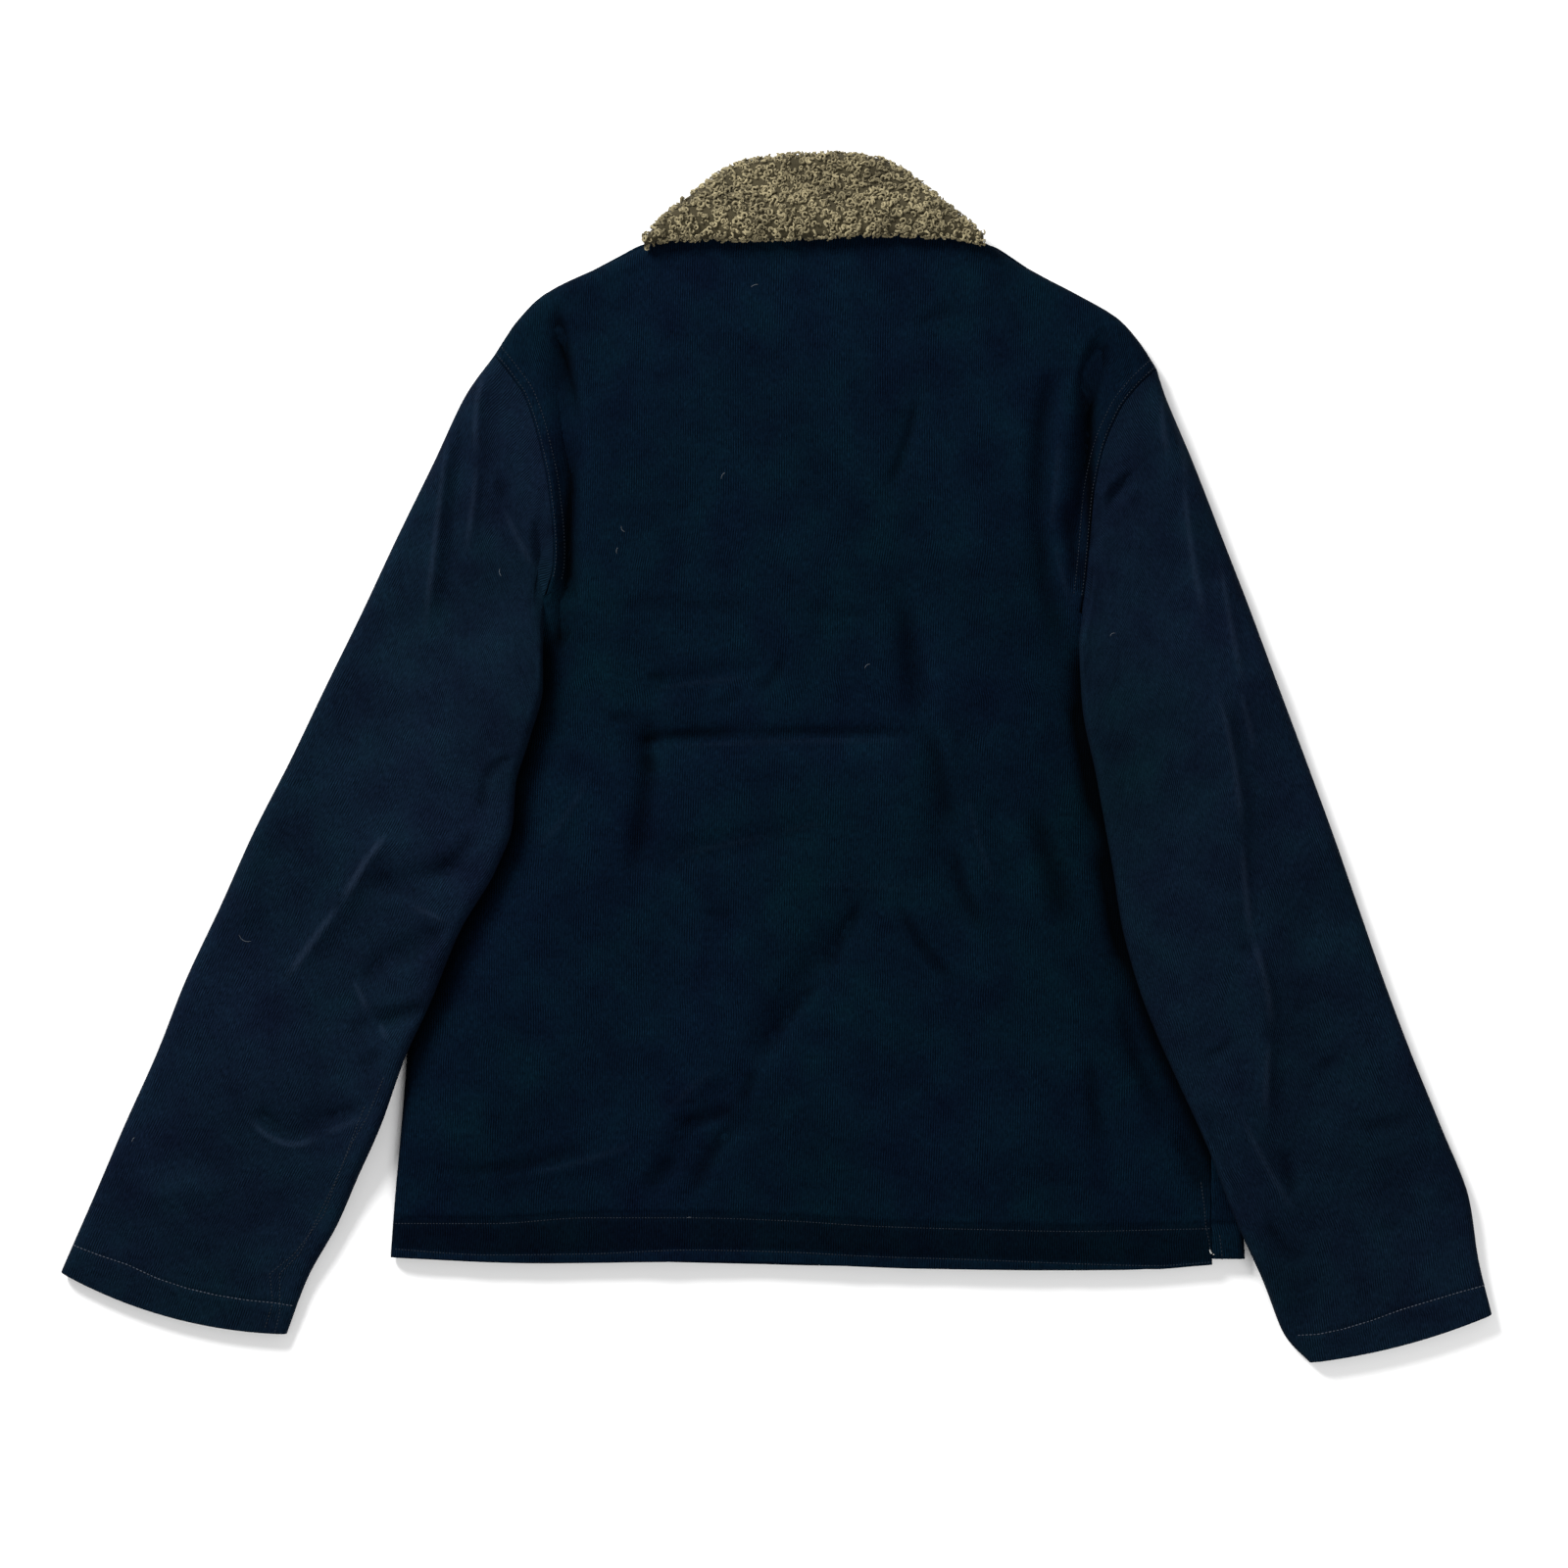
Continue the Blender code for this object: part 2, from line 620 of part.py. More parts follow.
def over_body(side, x, y):
    """Signed distance out of the body's outline under a sleeve."""
    edge = EDGES[side]
    gap = distance(np.stack([x, y], axis=-1), edge)[0]
    bound = np.interp(-y, -edge[:, 1], edge[:, 0])
    inside = (y < edge[0, 1]) & ((x > bound) if side < 0 else (x < bound))
    return np.where(inside, -gap, gap)


RING_STEPS = np.array(
    [0, 0.12, 0.4, 0.75, 1.1, 1.5, 2, 2.5, 3, 3.5, 4, 4.6, 5.2, 5.8, 6.5, 7.2, 7.9, 8.6, 9.3, 10, 10.7, 11.4, 12, 12.5, 13, 13.35, 13.7, 14]
)


def sleeve_ring(side, step, wall):
    """One section of a sleeve, top from outer to inner edge and back underneath; wall moves it inwards."""
    table = SLEEVE_LEFT if side < 0 else SLEEVE_RIGHT
    keys = np.arange(len(table))
    ox, oy, ix, iy, bow, thick = (float(along(keys, column(table, c), step)) for c in range(6))
    start, end = np.array([ox, oy]), np.array([ix, iy])
    length = np.linalg.norm(end - start)
    way = (end - start) / length
    up = np.array([-way[1], way[0]]) * -side
    edge = wall / length
    share = edge + np.array(ARM_SHARES) * (1.0 - 2.0 * edge)
    depth = along(column(ARMHOLE, 0), column(ARMHOLE, 1 if side < 0 else 2), share) / 17.5
    plain = 4.0 * share * (1.0 - share)
    mix = float(smooth(step / 4.0))
    depth *= 1.0 - float(smooth(step / 0.2)) * smooth((share - 0.70) / 0.2)
    bend = bow * (depth * (1.0 - mix) + plain * mix)
    xy = start + (end - start) * share[:, None] + up * bend[:, None]
    if step < 0.01:
        xy = xy - up * SEAM_GAP / 2
    x, y = xy[:, 0], xy[:, 1]
    out = over_body(side, x, y)
    ground = body_top(x, y) + LAYER_GAP
    low = ground * (1.0 - smooth((out - 6.0) / 22.0)) * smooth(step / 0.5)
    high = thick + 14.0 * (1.0 - smooth((out + 10.0) / 70.0))
    near = float(smooth(step / 1.2))
    high = body_top(x, y) * (1.0 - near) + high * near
    half = np.maximum((high - low) / 2.0, 4.2)
    middle = low + half
    first = (share - edge) * length
    last = (1.0 - edge - share) * length
    outer_roll = min(SHOULDER_ROLL, thick * 0.55) - 0.4 * wall
    inner_roll = 4.0 + 4.0 * near - 0.4 * wall
    curve = roll(first / outer_roll) * roll(last / inner_roll)
    rise = np.maximum(half - wall, 1.2) * curve
    calm = smooth((step - 0.1) / 1.0) * smooth((13.2 - step) / 0.8) * curve
    crease = folds(LEFT_FOLDS if side < 0 else RIGHT_FOLDS, x, y) * calm
    top = np.stack([x, y, middle + rise + crease], axis=1)
    bottom = np.stack([x, y, middle - rise], axis=1)[1:-1][::-1]
    return np.concatenate([top, bottom])


def build_sleeve(name, side):
    swell = [float(smooth(step / 1.5) * smooth((13.2 - step) / 0.7)) for step in RING_STEPS]
    ends = [WALL if step < 7 else CASING for step in RING_STEPS]
    walls = [end + (SLEEVE_WALL - end) * part for end, part in zip(ends, swell)]
    outer = [sleeve_ring(side, step, 0.0) for step in RING_STEPS]
    inner = [sleeve_ring(side, step, wall) for step, wall in zip(RING_STEPS, walls)]
    return grid_solid(name, outer, inner, CLOTH, closed=True)


def build_collar():
    """Stand, fold and pile leaf as one bent band, wide in the middle and closed at the neck sides."""
    outer, inner = [], []
    keys = column(COLLAR, 0)
    for x in np.concatenate([[-88, -84, -78], np.linspace(-70, 122, 17), [129, 133, 136.5]]):
        fold = float(along(keys, column(COLLAR, 1), x))
        leaf = float(along(keys, column(COLLAR, 2), x))
        seam = float(np.interp(x, SHOULDERS[:, 0], SHOULDERS[:, 1])) + 0.9 + 0.6 * float(neck_part(x))
        deep = fold - leaf
        q = min(1.0, deep / 26.0)
        seam = min(seam, fold - 9.0 * q)
        centre = (leaf + fold) / 2.0
        band = (seam + fold - 10.0 * q) / 2.0
        outer.append([
            (x, leaf + 1.5 * q, 21.0), (x, leaf, 24.0), (x, leaf + 2 * q, 27.4), (x, leaf + 6 * q, 29.0),
            (x, centre, 29.4), (x, fold - 8 * q, 28.6), (x, fold - 2.5 * q, 26.0), (x, fold, 21.0),
            (x, fold - 2.5 * q, 16.2), (x, fold - 6 * q, 14.4), (x, band, 14.2), (x, seam, 14.2),
        ])
        inner.append([
            (x, leaf + 3 * q, 20.2), (x, leaf + 4 * q, 19.9), (x, leaf + 5.5 * q, 19.8), (x, leaf + 8 * q, 19.7),
            (x, centre, 19.7), (x, fold - 10 * q, 19.6), (x, fold - 9 * q, 19.2), (x, fold - 8.5 * q, 18.2),
            (x, fold - 9 * q, 17.2), (x, fold - 10 * q, 16.9), (x, band, 16.8), (x, seam, 16.8),
        ])
    droop = [[[(x, y, z - COLLAR_DROOP * float(smooth((y - 357.0) / 32.0))) for x, y, z in line] for line in grid] for grid in (outer, inner)]
    return grid_solid("collar", *droop, PILE)


def build_collar_front(name, side):
    """Hidden half of the collar on the front, a flat leaf with plain edges."""
    keys = np.arange(len(COLLAR_FRONT))
    bottom, top = [], []
    for step in np.linspace(0, len(COLLAR_FRONT) - 1, 9):
        fx, fy, ex, ey = (float(along(keys, column(COLLAR_FRONT, c), step)) for c in range(4))
        low, high = [], []
        for share in (0.0, 0.08, 0.3, 0.55, 0.8, 0.95, 1.0):
            x, y = fx + (ex - fx) * share, fy + (ey - fy) * share
            x = x if side < 0 else 2.0 * CENTRE_FRONT - x
            round_off = 2.2 * (1.0 - float(roll(min(share, 1.0 - share) / 0.1)))
            low.append((x, y, 0.0))
            high.append((x, y, LEAF_THICK - round_off))
        bottom.append(low)
        top.append(high)
    return grid_solid(name, top, bottom, PILE)


def build_placket():
    """Straight strip over the front opening, under both fronts."""
    bottom, top = [], []
    for y in np.linspace(PLACKET_Y[0] - 3.0, PLACKET_Y[1], 8):
        xs = np.linspace(PLACKET_X[0], PLACKET_X[1], 4)
        bottom.append([(x, y, 0.0) for x in xs])
        top.append([(x, y, WALL) for x in xs])
    return grid_solid("front_placket", top, bottom, CLOTH)


def main():
    for old in list(bpy.data.objects):
        bpy.data.objects.remove(old, do_unlink=True)
    build_back()
    build_front("front_left", -1)
    build_front("front_right", 1)
    build_placket()
    build_sleeve("sleeve_left", -1)
    build_sleeve("sleeve_right", 1)
    build_collar()
    build_collar_front("collar_front_left", -1)
    build_collar_front("collar_front_right", 1)


main()
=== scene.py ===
# %% [markdown]
# # Deck jacket, laid flat on its front
#
# The jacket lies on its front with the back upward, so the camera looks straight down on it. This script builds the
# looks round the imported solids: thin cloth shells with the creases placed one by one, a curly pile collar, stitch
# rows and the woven navy cloth. Everything is in metres in the file and in millimetres in the tables.

# %% The frame
import math

import bpy
import numpy as np
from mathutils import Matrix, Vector
from mathutils.bvhtree import BVHTree


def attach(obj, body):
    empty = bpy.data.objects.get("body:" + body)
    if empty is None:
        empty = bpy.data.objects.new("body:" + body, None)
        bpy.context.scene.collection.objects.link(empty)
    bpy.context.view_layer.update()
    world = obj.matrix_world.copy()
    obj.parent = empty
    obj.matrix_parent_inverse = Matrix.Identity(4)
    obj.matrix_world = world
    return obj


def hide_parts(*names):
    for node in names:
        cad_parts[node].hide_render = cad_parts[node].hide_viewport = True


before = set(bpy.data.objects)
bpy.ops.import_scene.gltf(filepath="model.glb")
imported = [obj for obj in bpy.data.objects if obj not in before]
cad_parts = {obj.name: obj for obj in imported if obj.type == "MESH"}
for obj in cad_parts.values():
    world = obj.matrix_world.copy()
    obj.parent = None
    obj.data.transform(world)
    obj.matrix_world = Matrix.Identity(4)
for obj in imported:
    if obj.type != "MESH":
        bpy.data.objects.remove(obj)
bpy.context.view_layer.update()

MM = 0.001
CENTRE = (-0.5, -0.03)
PHOTO_SCALE = 0.65
PHOTO_CENTRE = (793.0, 773.0)
SEAM_GAP = 0.3
LAYER_GAP = 2.2
SHOULDER_ROLL = 10.0
UNDER_LAP = 6.0
PLACKET_X = (0.0, 56.0)
PLACKET_Y = (-333.0, 222.0)
CENTRE_FRONT = 28.0
COLLAR_LIFT = 8.8
COLLAR_DROOP = 13.4

# %% [markdown]
# ## Tables of the cut
#
# The outline comes from short tables: the armhole curve, one row per sleeve section, the side edges, the shoulder
# and neck line, the hem and the height of the laid body. A curve through a few rows is easier to change than a
# dense mesh, and the same rows drive the solids and these shells, so both share one outline.

# %% Tables
ARMHOLE = (
    # share of the seam, left depth, right depth
    (0.00, 0.0, 0.0),
    (0.10, 8.0, 9.2),
    (0.20, 14.3, 15.2),
    (0.35, 17.0, 17.9),
    (0.50, 17.5, 16.0),
    (0.65, 15.8, 11.2),
    (0.80, 12.6, 5.8),
    (0.90, 8.5, 2.5),
    (1.00, 0.0, 0.0),
)
SLEEVE_LEFT = (
    # outer x, y, inner x, y, bow, thick
    (-188, 267, -154, 108, 17.5, 18),
    (-206, 242, -155, 80, 12.0, 19),
    (-229, 194, -155, 47, 6.0, 18),
    (-253, 145, -164, 12, 2.0, 17),
    (-276, 96, -173, -18, 0.0, 16),
    (-300, 47, -175, -44, 0.0, 16),
    (-323, -1, -187, -76, 0.0, 16),
    (-348, -50, -210, -115, 0.0, 16),
    (-370, -99, -229, -161, 0.0, 16),
    (-393, -148, -246, -198, 0.0, 16),
    (-412, -196, -263, -245, -1.0, 15),
    (-434, -245, -278, -278, -2.0, 14),
    (-455, -294, -292, -310, -3.0, 12),
    (-469, -326, -312, -346, -7.0, 12),
    (-476, -342, -326, -383, -9.5, 10.4),
)
SLEEVE_RIGHT = (
    # outer x, y, inner x, y, bow, thick
    (252, 258, 202, 96, 17.5, 18),
    (257, 242, 200, 73, 12.0, 19),
    (277, 194, 202, 34, 6.0, 18),
    (296, 145, 211, -11, 2.0, 17),
    (315, 96, 218, -50, 0.0, 16),
    (333, 47, 223, -78, 0.0, 16),
    (351, -1, 228, -110, 0.0, 16),
    (369, -50, 240, -154, 0.0, 16),
    (386, -99, 252, -185, 0.0, 16),
    (403, -148, 266, -216, 0.0, 16),
    (421, -196, 285, -258, 0.0, 16),
    (441, -245, 303, -305, 0.0, 14),
    (460, -294, 323, -349, -1.0, 13),
    (466, -333, 338, -385, -3.0, 12),
    (475, -370, 354, -402, -4.5, 10.4),
)
FOOT_LEFT = ((-154, 108), (-154.6, 84), (-155, 64), (-174, 51), (-200, 44), (-228, 38))
FOOT_RIGHT = ((202, 96), (200, 76), (201, 58), (222, 47), (255, 41), (285, 36))
SIDE = (
    # y, left edge x, right seam x, right edge x
    (38, -228, 285, 298),
    (-20, -236, 287, 300),
    (-115, -242, 287, 302),
    (-200, -246, 287, 305),
    (-250, -250, 288, 307),
    (-294, -254, 288, 309),
    (-334, -257, 289, 311),
)
TOP_LINE = (
    # share across, back rise, front rise
    (0.000, 0, 0),
    (0.036, 24, 24),
    (0.075, 41, 41),
    (0.166, 61.5, 61.5),
    (0.240, 77, 77),
    (0.300, 86, 74),
    (0.400, 88, 48),
    (0.490, 88, 24),
    (0.600, 88, 52),
    (0.680, 87, 76),
    (0.745, 80, 80),
    (0.800, 66, 66),
    (0.882, 48, 48),
    (0.943, 32.5, 32.5),
    (0.975, 17, 17),
    (1.000, 0, 0),
)
HEM_LINE = (
    # share across, back drop, front drop
    (0.00, 0.0, 0.5),
    (0.17, 3.0, 4.0),
    (0.41, 1.0, 6.5),
    (0.65, 4.8, 8.0),
    (0.77, 5.2, 8.4),
    (0.89, 4.6, 6.0),
    (1.00, 0.0, 0.5),
)
HEIGHT = (
    # y, middle, side
    (352, 17.0, 17.0),
    (300, 19.0, 17.5),
    (250, 20.5, 18.0),
    (190, 21.0, 18.5),
    (130, 21.0, 18.0),
    (100, 21.0, 16.5),
    (60, 20.5, 13.2),
    (0, 20.0, 12.4),
    (-150, 19.5, 12.4),
    (-240, 17.5, 12.0),
    (-296, 13.0, 10.8),
    (-318, 11.8, 10.4),
    (-345, 10.9, 9.8),
)
COLLAR = (
    # x, fold y, leaf edge y
    (-88, 345, 338),
    (-81, 352, 341),
    (-67, 366, 343.5),
    (-51, 379, 343),
    (-31, 393, 343),
    (-15, 398, 343),
    (31, 402, 344),
    (66, 399, 346),
    (83, 391, 346),
    (99, 379, 345),
    (112, 367, 345),
    (125, 356, 343),
    (133, 350, 341.5),
    (137, 347, 340),
)
COLLAR_FRONT = (
    # fold x, y, edge x, y
    (-76, 342, -96, 318),
    (-58, 344, -94, 296),
    (-34, 330, -78, 272),
    (-6, 308, -48, 252),
    (24, 288, 6, 238),
)
# Rows of stitches on the hem, photo pixels
HEM_STITCH = (
    # x, upper row y, lower row y
    (400, 1249, 1275),
    (500, 1249, 1281),
    (600, 1243, 1280),
    (700, 1243, 1276),
    (800, 1246, 1278),
    (900, 1252, 1283),
    (1000, 1255, 1286),
    (1100, 1257, 1290),
    (1180, 1255.4, 1292),
    (1240, 1254, 1288),
)

# %% [markdown]
# ## Creases
#
# Each row is one crease: start, middle and end in photo pixels, half width and height in millimetres. A negative
# height is a trough. The depths are guesses, scaled by the relief values below. Placing them one by one keeps the lie
# of the cloth close to the photo, which a simulation wouldn't.

# %% Crease tables
# Broad folds, in millimetres, as the solids have them
BACK_FOLDS = (
    # x0, y0, bend x, y, x1, y1, half width, height
    (-150, 300, -130, 200, -145, 75, 8, -8.0),
    (213, 285, 200, 190, 207, 130, 8, -8.0),
    (186, 262, 168, 170, 182, 84, 11, -4.5),
    (188, 226, 190, 180, 182, 140, 7, 3.0),
    (80, 138, 92, 40, 128, -122, 11, -5.0),
    (98, 62, 118, -50, 146, -140, 10, 3.6),
    (57, -96, 10, -160, -21, -208, 11, -5.0),
    (-21, -208, -50, -235, -84, -290, 10, -3.6),
    (-8, -240, -48, -246, -62, -292, 9, -3.0),
    (-107, 10, -50, 10, 104, 13, 10, -4.0),
    (-93, 44, -40, 50, 5, 63, 9, -2.6),
    (-88, -73, -20, -58, 42, -45, 10, -3.4),
    (-86, 34, -82, -30, -97, -85, 11, -3.0),
    (140, -18, 156, -60, 168, -100, 9, -2.6),
    (88, 235, 86, 200, 74, 172, 9, -2.4),
)

LEFT_FOLDS = (
    (-192, 262, -206, 190, -204, 130, 8, 4.0),
    (-218, 215, -226, 150, -234, 80, 8, 3.4),
    (-205, 225, -214, 170, -216, 100, 7, -3.4),
    (-256, -48, -288, -96, -314, -138, 10, 5.0),
    (-203, -70, -240, -86, -272, -83, 8, -4.2),
    (-222, -112, -250, -124, -276, -148, 8, -4.4),
    (-229, -168, -250, -174, -272, -180, 8, -3.2),
    (-350, -232, -325, -254, -275, -233, 9, -3.6),
    (-352, -60, -350, -90, -352, -116, 9, 2.6),
    (-424, -292, -392, -284, -360, -286, 10, 2.4),
)

RIGHT_FOLDS = (
    (290, 47, 305, -18, 310, -90, 8, 4.6),
    (313, -120, 325, -165, 323, -242, 8, 4.6),
    (256, 242, 262, 200, 268, 170, 8, 3.2),
    (271, 190, 280, 115, 288, 78, 8, 3.2),
    (294, 125, 300, 90, 304, 54, 8, 3.0),
    (284, -226, 308, -270, 352, -332, 8, -4.0),
    (306, -30, 318, -100, 312, -150, 9, -2.6),
    (362, -200, 372, -212, 382, -220, 9, -2.6),
    (336, -258, 342, -275, 346, -294, 9, -2.4),
    (420, -230, 428, -260, 440, -300, 10, 2.4),
)

BACK_CREASES = (
    # x0, y0, x middle, y middle, x1, y1, half width, height
    (566, 312, 585, 420, 583, 500, 4.2, -4.0),
    (585, 470, 584, 560, 572, 690, 4.4, -4.0),
    (1134, 330, 1112, 388, 1111, 470, 4.4, -4.0),
    (1111, 440, 1111, 520, 1115, 600, 5.5, -4.0),
    (1078, 368, 1062, 450, 1064, 560, 6.0, -2.0),
    (1062, 520, 1070, 600, 1086, 680, 6.0, -2.4),
    (1080, 440, 1077, 490, 1072, 550, 5.0, 1.6),
    (1088, 500, 1094, 560, 1106, 616, 5.0, -3.0),
    (936, 398, 925, 452, 902, 508, 3.0, -2.2),
    (930, 335, 957, 321, 985, 313, 3.5, -1.2),
    (590, 616, 700, 617, 800, 618, 5.0, -1.0),
    (800, 618, 850, 624, 900, 629, 4.0, -0.9),
    (618, 734, 636, 733, 656, 731, 3.5, -1.8),
    (658, 693, 670, 692, 684, 691, 3.2, -1.4),
    (660, 706, 710, 697, 772, 692, 3.4, 1.2),
    (798, 664, 790, 690, 764, 704, 4.0, -1.8),
    (764, 704, 745, 712, 730, 724, 4.0, -1.2),
    (634, 760, 690, 751, 770, 748, 3.4, -2.2),
    (760, 748, 850, 748, 955, 750, 3.2, -1.6),
    (655, 764, 780, 757, 945, 755, 3.0, 1.3),
    (650, 772, 664, 780, 680, 790, 5.0, -1.2),
    (672, 876, 735, 863, 800, 849, 3.4, 1.4),
    (790, 851, 815, 845, 845, 838, 3.0, 1.2),
    (822, 902, 885, 904, 948, 908, 3.5, 0.7),
    (714, 931, 732, 932, 752, 931, 3.2, -1.4),
    (663, 712, 658, 810, 642, 915, 5.5, -2.6),
    (924, 600, 932, 680, 948, 742, 6.0, -2.0),
    (944, 732, 960, 800, 972, 864, 6.0, -2.4),
    (970, 856, 986, 918, 1014, 958, 5.0, -2.4),
    (984, 800, 1000, 862, 1018, 920, 5.0, 1.4),
    (884, 912, 855, 965, 836, 1002, 4.0, -2.4),
    (916, 918, 942, 965, 985, 1012, 4.0, -2.4),
    (842, 995, 800, 1042, 768, 1092, 4.0, -2.4),
    (772, 1086, 764, 1108, 752, 1130, 4.0, -2.2),
    (688, 1150, 720, 1141, 760, 1127, 4.5, -2.8),
    (760, 1142, 728, 1176, 700, 1230, 4.5, -2.6),
    (690, 1176, 678, 1194, 650, 1214, 6.0, -2.2),
    (740, 1086, 712, 1104, 676, 1136, 6.0, 1.4),
    (528, 1200, 600, 1183, 660, 1162, 6.0, 1.8),
    (446, 1195, 535, 1188, 622, 1163, 4.5, -1.8),
    (602, 785, 578, 832, 540, 868, 5.0, 1.6),
    (1050, 810, 1072, 885, 1095, 960, 8.0, -2.6),
    (1110, 1072, 1116, 1126, 1126, 1180, 5.0, -2.2),
    (1090, 700, 1109, 800, 1118, 860, 5.0, -2.8),
    (1116, 850, 1130, 920, 1150, 1010, 5.0, -2.8),
    (1142, 1000, 1160, 1085, 1202, 1152, 5.0, -2.4),
    (1192, 1146, 1216, 1188, 1232, 1230, 5.0, -2.0),
    (1073, 545, 1082, 580, 1094, 622, 3.0, 1.4),
)
LEFT_CREASES = (
    (497, 372, 486, 420, 488, 470, 3.4, 1.6),
    (488, 466, 482, 520, 474, 572, 3.4, 1.4),
    (457, 440, 448, 520, 432, 655, 3.4, 1.8),
    (504, 488, 513, 500, 518, 515, 3.5, -2.6),
    (550, 522, 553, 555, 556, 590, 4.0, -5.0),
    (498, 796, 494, 812, 495, 832, 3.4, -2.6),
    (530, 774, 506, 783, 496, 806, 3.0, -3.0),
    (398, 848, 372, 882, 347, 924, 4.0, 4.2),
    (350, 920, 328, 948, 288, 1004, 4.2, 3.2),
    (488, 846, 470, 872, 440, 900, 5.0, -2.4),
    (450, 902, 420, 910, 372, 898, 4.0, -2.0),
    (458, 943, 440, 932, 418, 924, 3.4, 1.6),
    (464, 940, 426, 968, 392, 988, 5.0, -3.2),
    (396, 984, 382, 992, 368, 1002, 4.0, -2.2),
    (360, 998, 368, 1014, 377, 1034, 3.4, 1.6),
    (442, 1022, 412, 1034, 378, 1042, 5.0, -3.0),
    (380, 1042, 366, 1048, 352, 1052, 4.0, -1.8),
    (388, 1042, 392, 1052, 398, 1062, 3.0, 1.4),
    (392, 1070, 378, 1082, 368, 1094, 4.0, -2.0),
    (262, 1126, 292, 1156, 330, 1142, 4.0, -2.6),
    (328, 1143, 352, 1135, 374, 1126, 3.6, -2.0),
    (250, 1138, 291, 1167, 330, 1156, 3.6, 2.0),
    (328, 1157, 350, 1149, 374, 1139, 3.4, 1.4),
    (512, 516, 528, 548, 548, 584, 3.4, 1.4),
)
RIGHT_CREASES = (
    (1187, 400, 1186, 430, 1192, 470, 3.4, 1.6),
    (1207, 478, 1215, 560, 1232, 645, 3.6, 1.6),
    (1244, 565, 1254, 630, 1270, 710, 3.4, 1.6),
    (1162, 484, 1142, 500, 1130, 524, 4.0, -3.6),
    (1238, 700, 1256, 770, 1267, 862, 3.6, 2.0),
    (1266, 855, 1270, 910, 1276, 962, 3.4, 2.4),
    (1274, 950, 1291, 1005, 1296, 1055, 3.2, 2.4),
    (1294, 1055, 1291, 1100, 1290, 1145, 3.4, 1.8),
    (1262, 965, 1274, 968, 1288, 966, 2.6, -2.0),
    (1264, 702, 1272, 735, 1280, 769, 3.0, 1.4),
    (1222, 1118, 1252, 1184, 1288, 1256, 7.0, -3.6),
    (1262, 1130, 1292, 1190, 1326, 1244, 5.0, 1.4),
    (1292, 1238, 1312, 1272, 1342, 1286, 3.6, -2.2),
    (1308, 1170, 1318, 1200, 1326, 1226, 3.6, -1.8),
    (1382, 1140, 1412, 1149, 1456, 1128, 4.0, -2.2),
    (1222, 1082, 1246, 1070, 1266, 1054, 3.2, -1.8),
    (1398, 1250, 1418, 1254, 1442, 1248, 3.6, -1.4),
    (1193, 412, 1204, 450, 1212, 500, 3.0, 1.4),
)
# Stitch rows that follow no edge, photo pixels
CUFF_LEFT = (
    (74, 1271), (100, 1281), (130, 1291), (160, 1305), (190, 1315), (220, 1322), (250, 1327), (280, 1330),
    (298, 1333),
)
CUFF_RIGHT = (
    (1520, 1311), (1490, 1319), (1460, 1328), (1430, 1337), (1400, 1348), (1370, 1357), (1345, 1362),
    (1325, 1363),
)
FELL_OUTER = (
    (392, 1100), (375, 1140), (360, 1165), (340, 1210), (320, 1250), (305, 1280), (285, 1300), (285, 1340),
    (280, 1360),
)
FELL_INNER = ((372, 1130), (345, 1200), (330, 1240), (300, 1280), (275, 1300), (278, 1330), (270, 1355))


# %% [markdown]
# ## Shape helpers
#
# A monotone curve runs through each table, distances are taken to chains of straight pieces, and a crease is a
# smooth bell across its line with low flanks of the opposite sign, as real cloth has beside a fold.

# %% Helpers
def column(table, index):
    return np.array([row[index] for row in table], float)


def smooth(t):
    t = np.clip(t, 0.0, 1.0)
    return t * t * (3.0 - 2.0 * t)


def roll(t):
    t = np.clip(t, 0.0, 1.0)
    return np.sqrt(1.0 - (1.0 - t) ** 2)


def bell(t):
    return np.exp(-(t * t))


def along(keys, values, at):
    """Smooth curve through the rows of a table, without overshoot."""
    keys, values, at = np.asarray(keys, float), np.asarray(values, float), np.asarray(at, float)
    if keys[0] > keys[-1]:
        keys, values = keys[::-1], values[::-1]
    step = np.diff(keys)
    rise = np.diff(values) / step
    slope = np.zeros(len(keys))
    slope[0], slope[-1] = rise[0], rise[-1]
    same = rise[:-1] * rise[1:] > 0
    mean = 2.0 * rise[:-1] * rise[1:] / np.where(same, rise[:-1] + rise[1:], 1.0)
    slope[1:-1] = np.where(same, mean, 0.0)
    i = np.clip(np.searchsorted(keys, at) - 1, 0, len(step) - 1)
    t = np.clip((at - keys[i]) / step[i], 0.0, 1.0)
    h = step[i]
    return (
        (2 * t**3 - 3 * t**2 + 1) * values[i]
        + (t**3 - 2 * t**2 + t) * h * slope[i]
        + (3 * t**2 - 2 * t**3) * values[i + 1]
        + (t**3 - t**2) * h * slope[i + 1]
    )


def photo(x, y):
    """Photo pixels to millimetres in the frame of the tables."""
    across = (np.asarray(x, float) - PHOTO_CENTRE[0]) * PHOTO_SCALE
    return across, (PHOTO_CENTRE[1] - np.asarray(y, float)) * PHOTO_SCALE


def distance(points, line):
    """Distance of each point from a chain of straight pieces, and the length along it of the nearest place."""
    points, line = np.asarray(points, float), np.asarray(line, float)
    best = np.full(points.shape[:-1], 1e9)
    where = np.zeros(points.shape[:-1])
    start = 0.0
    for a, b in zip(line[:-1], line[1:]):
        length = np.linalg.norm(b - a)
        way = (b - a) / length
        t = np.clip((points - a) @ way, 0.0, length)
        gap = np.linalg.norm(points - (a + t[..., None] * way), axis=-1)
        near = gap < best
        best = np.where(near, gap, best)
        where = np.where(near, start + t, where)
        start += length
    return best, where


RIDGE_RELIEF, TROUGH_RELIEF, DEEP_RELIEF = 0.38, 0.6, 1.15
DEEP = -3.6


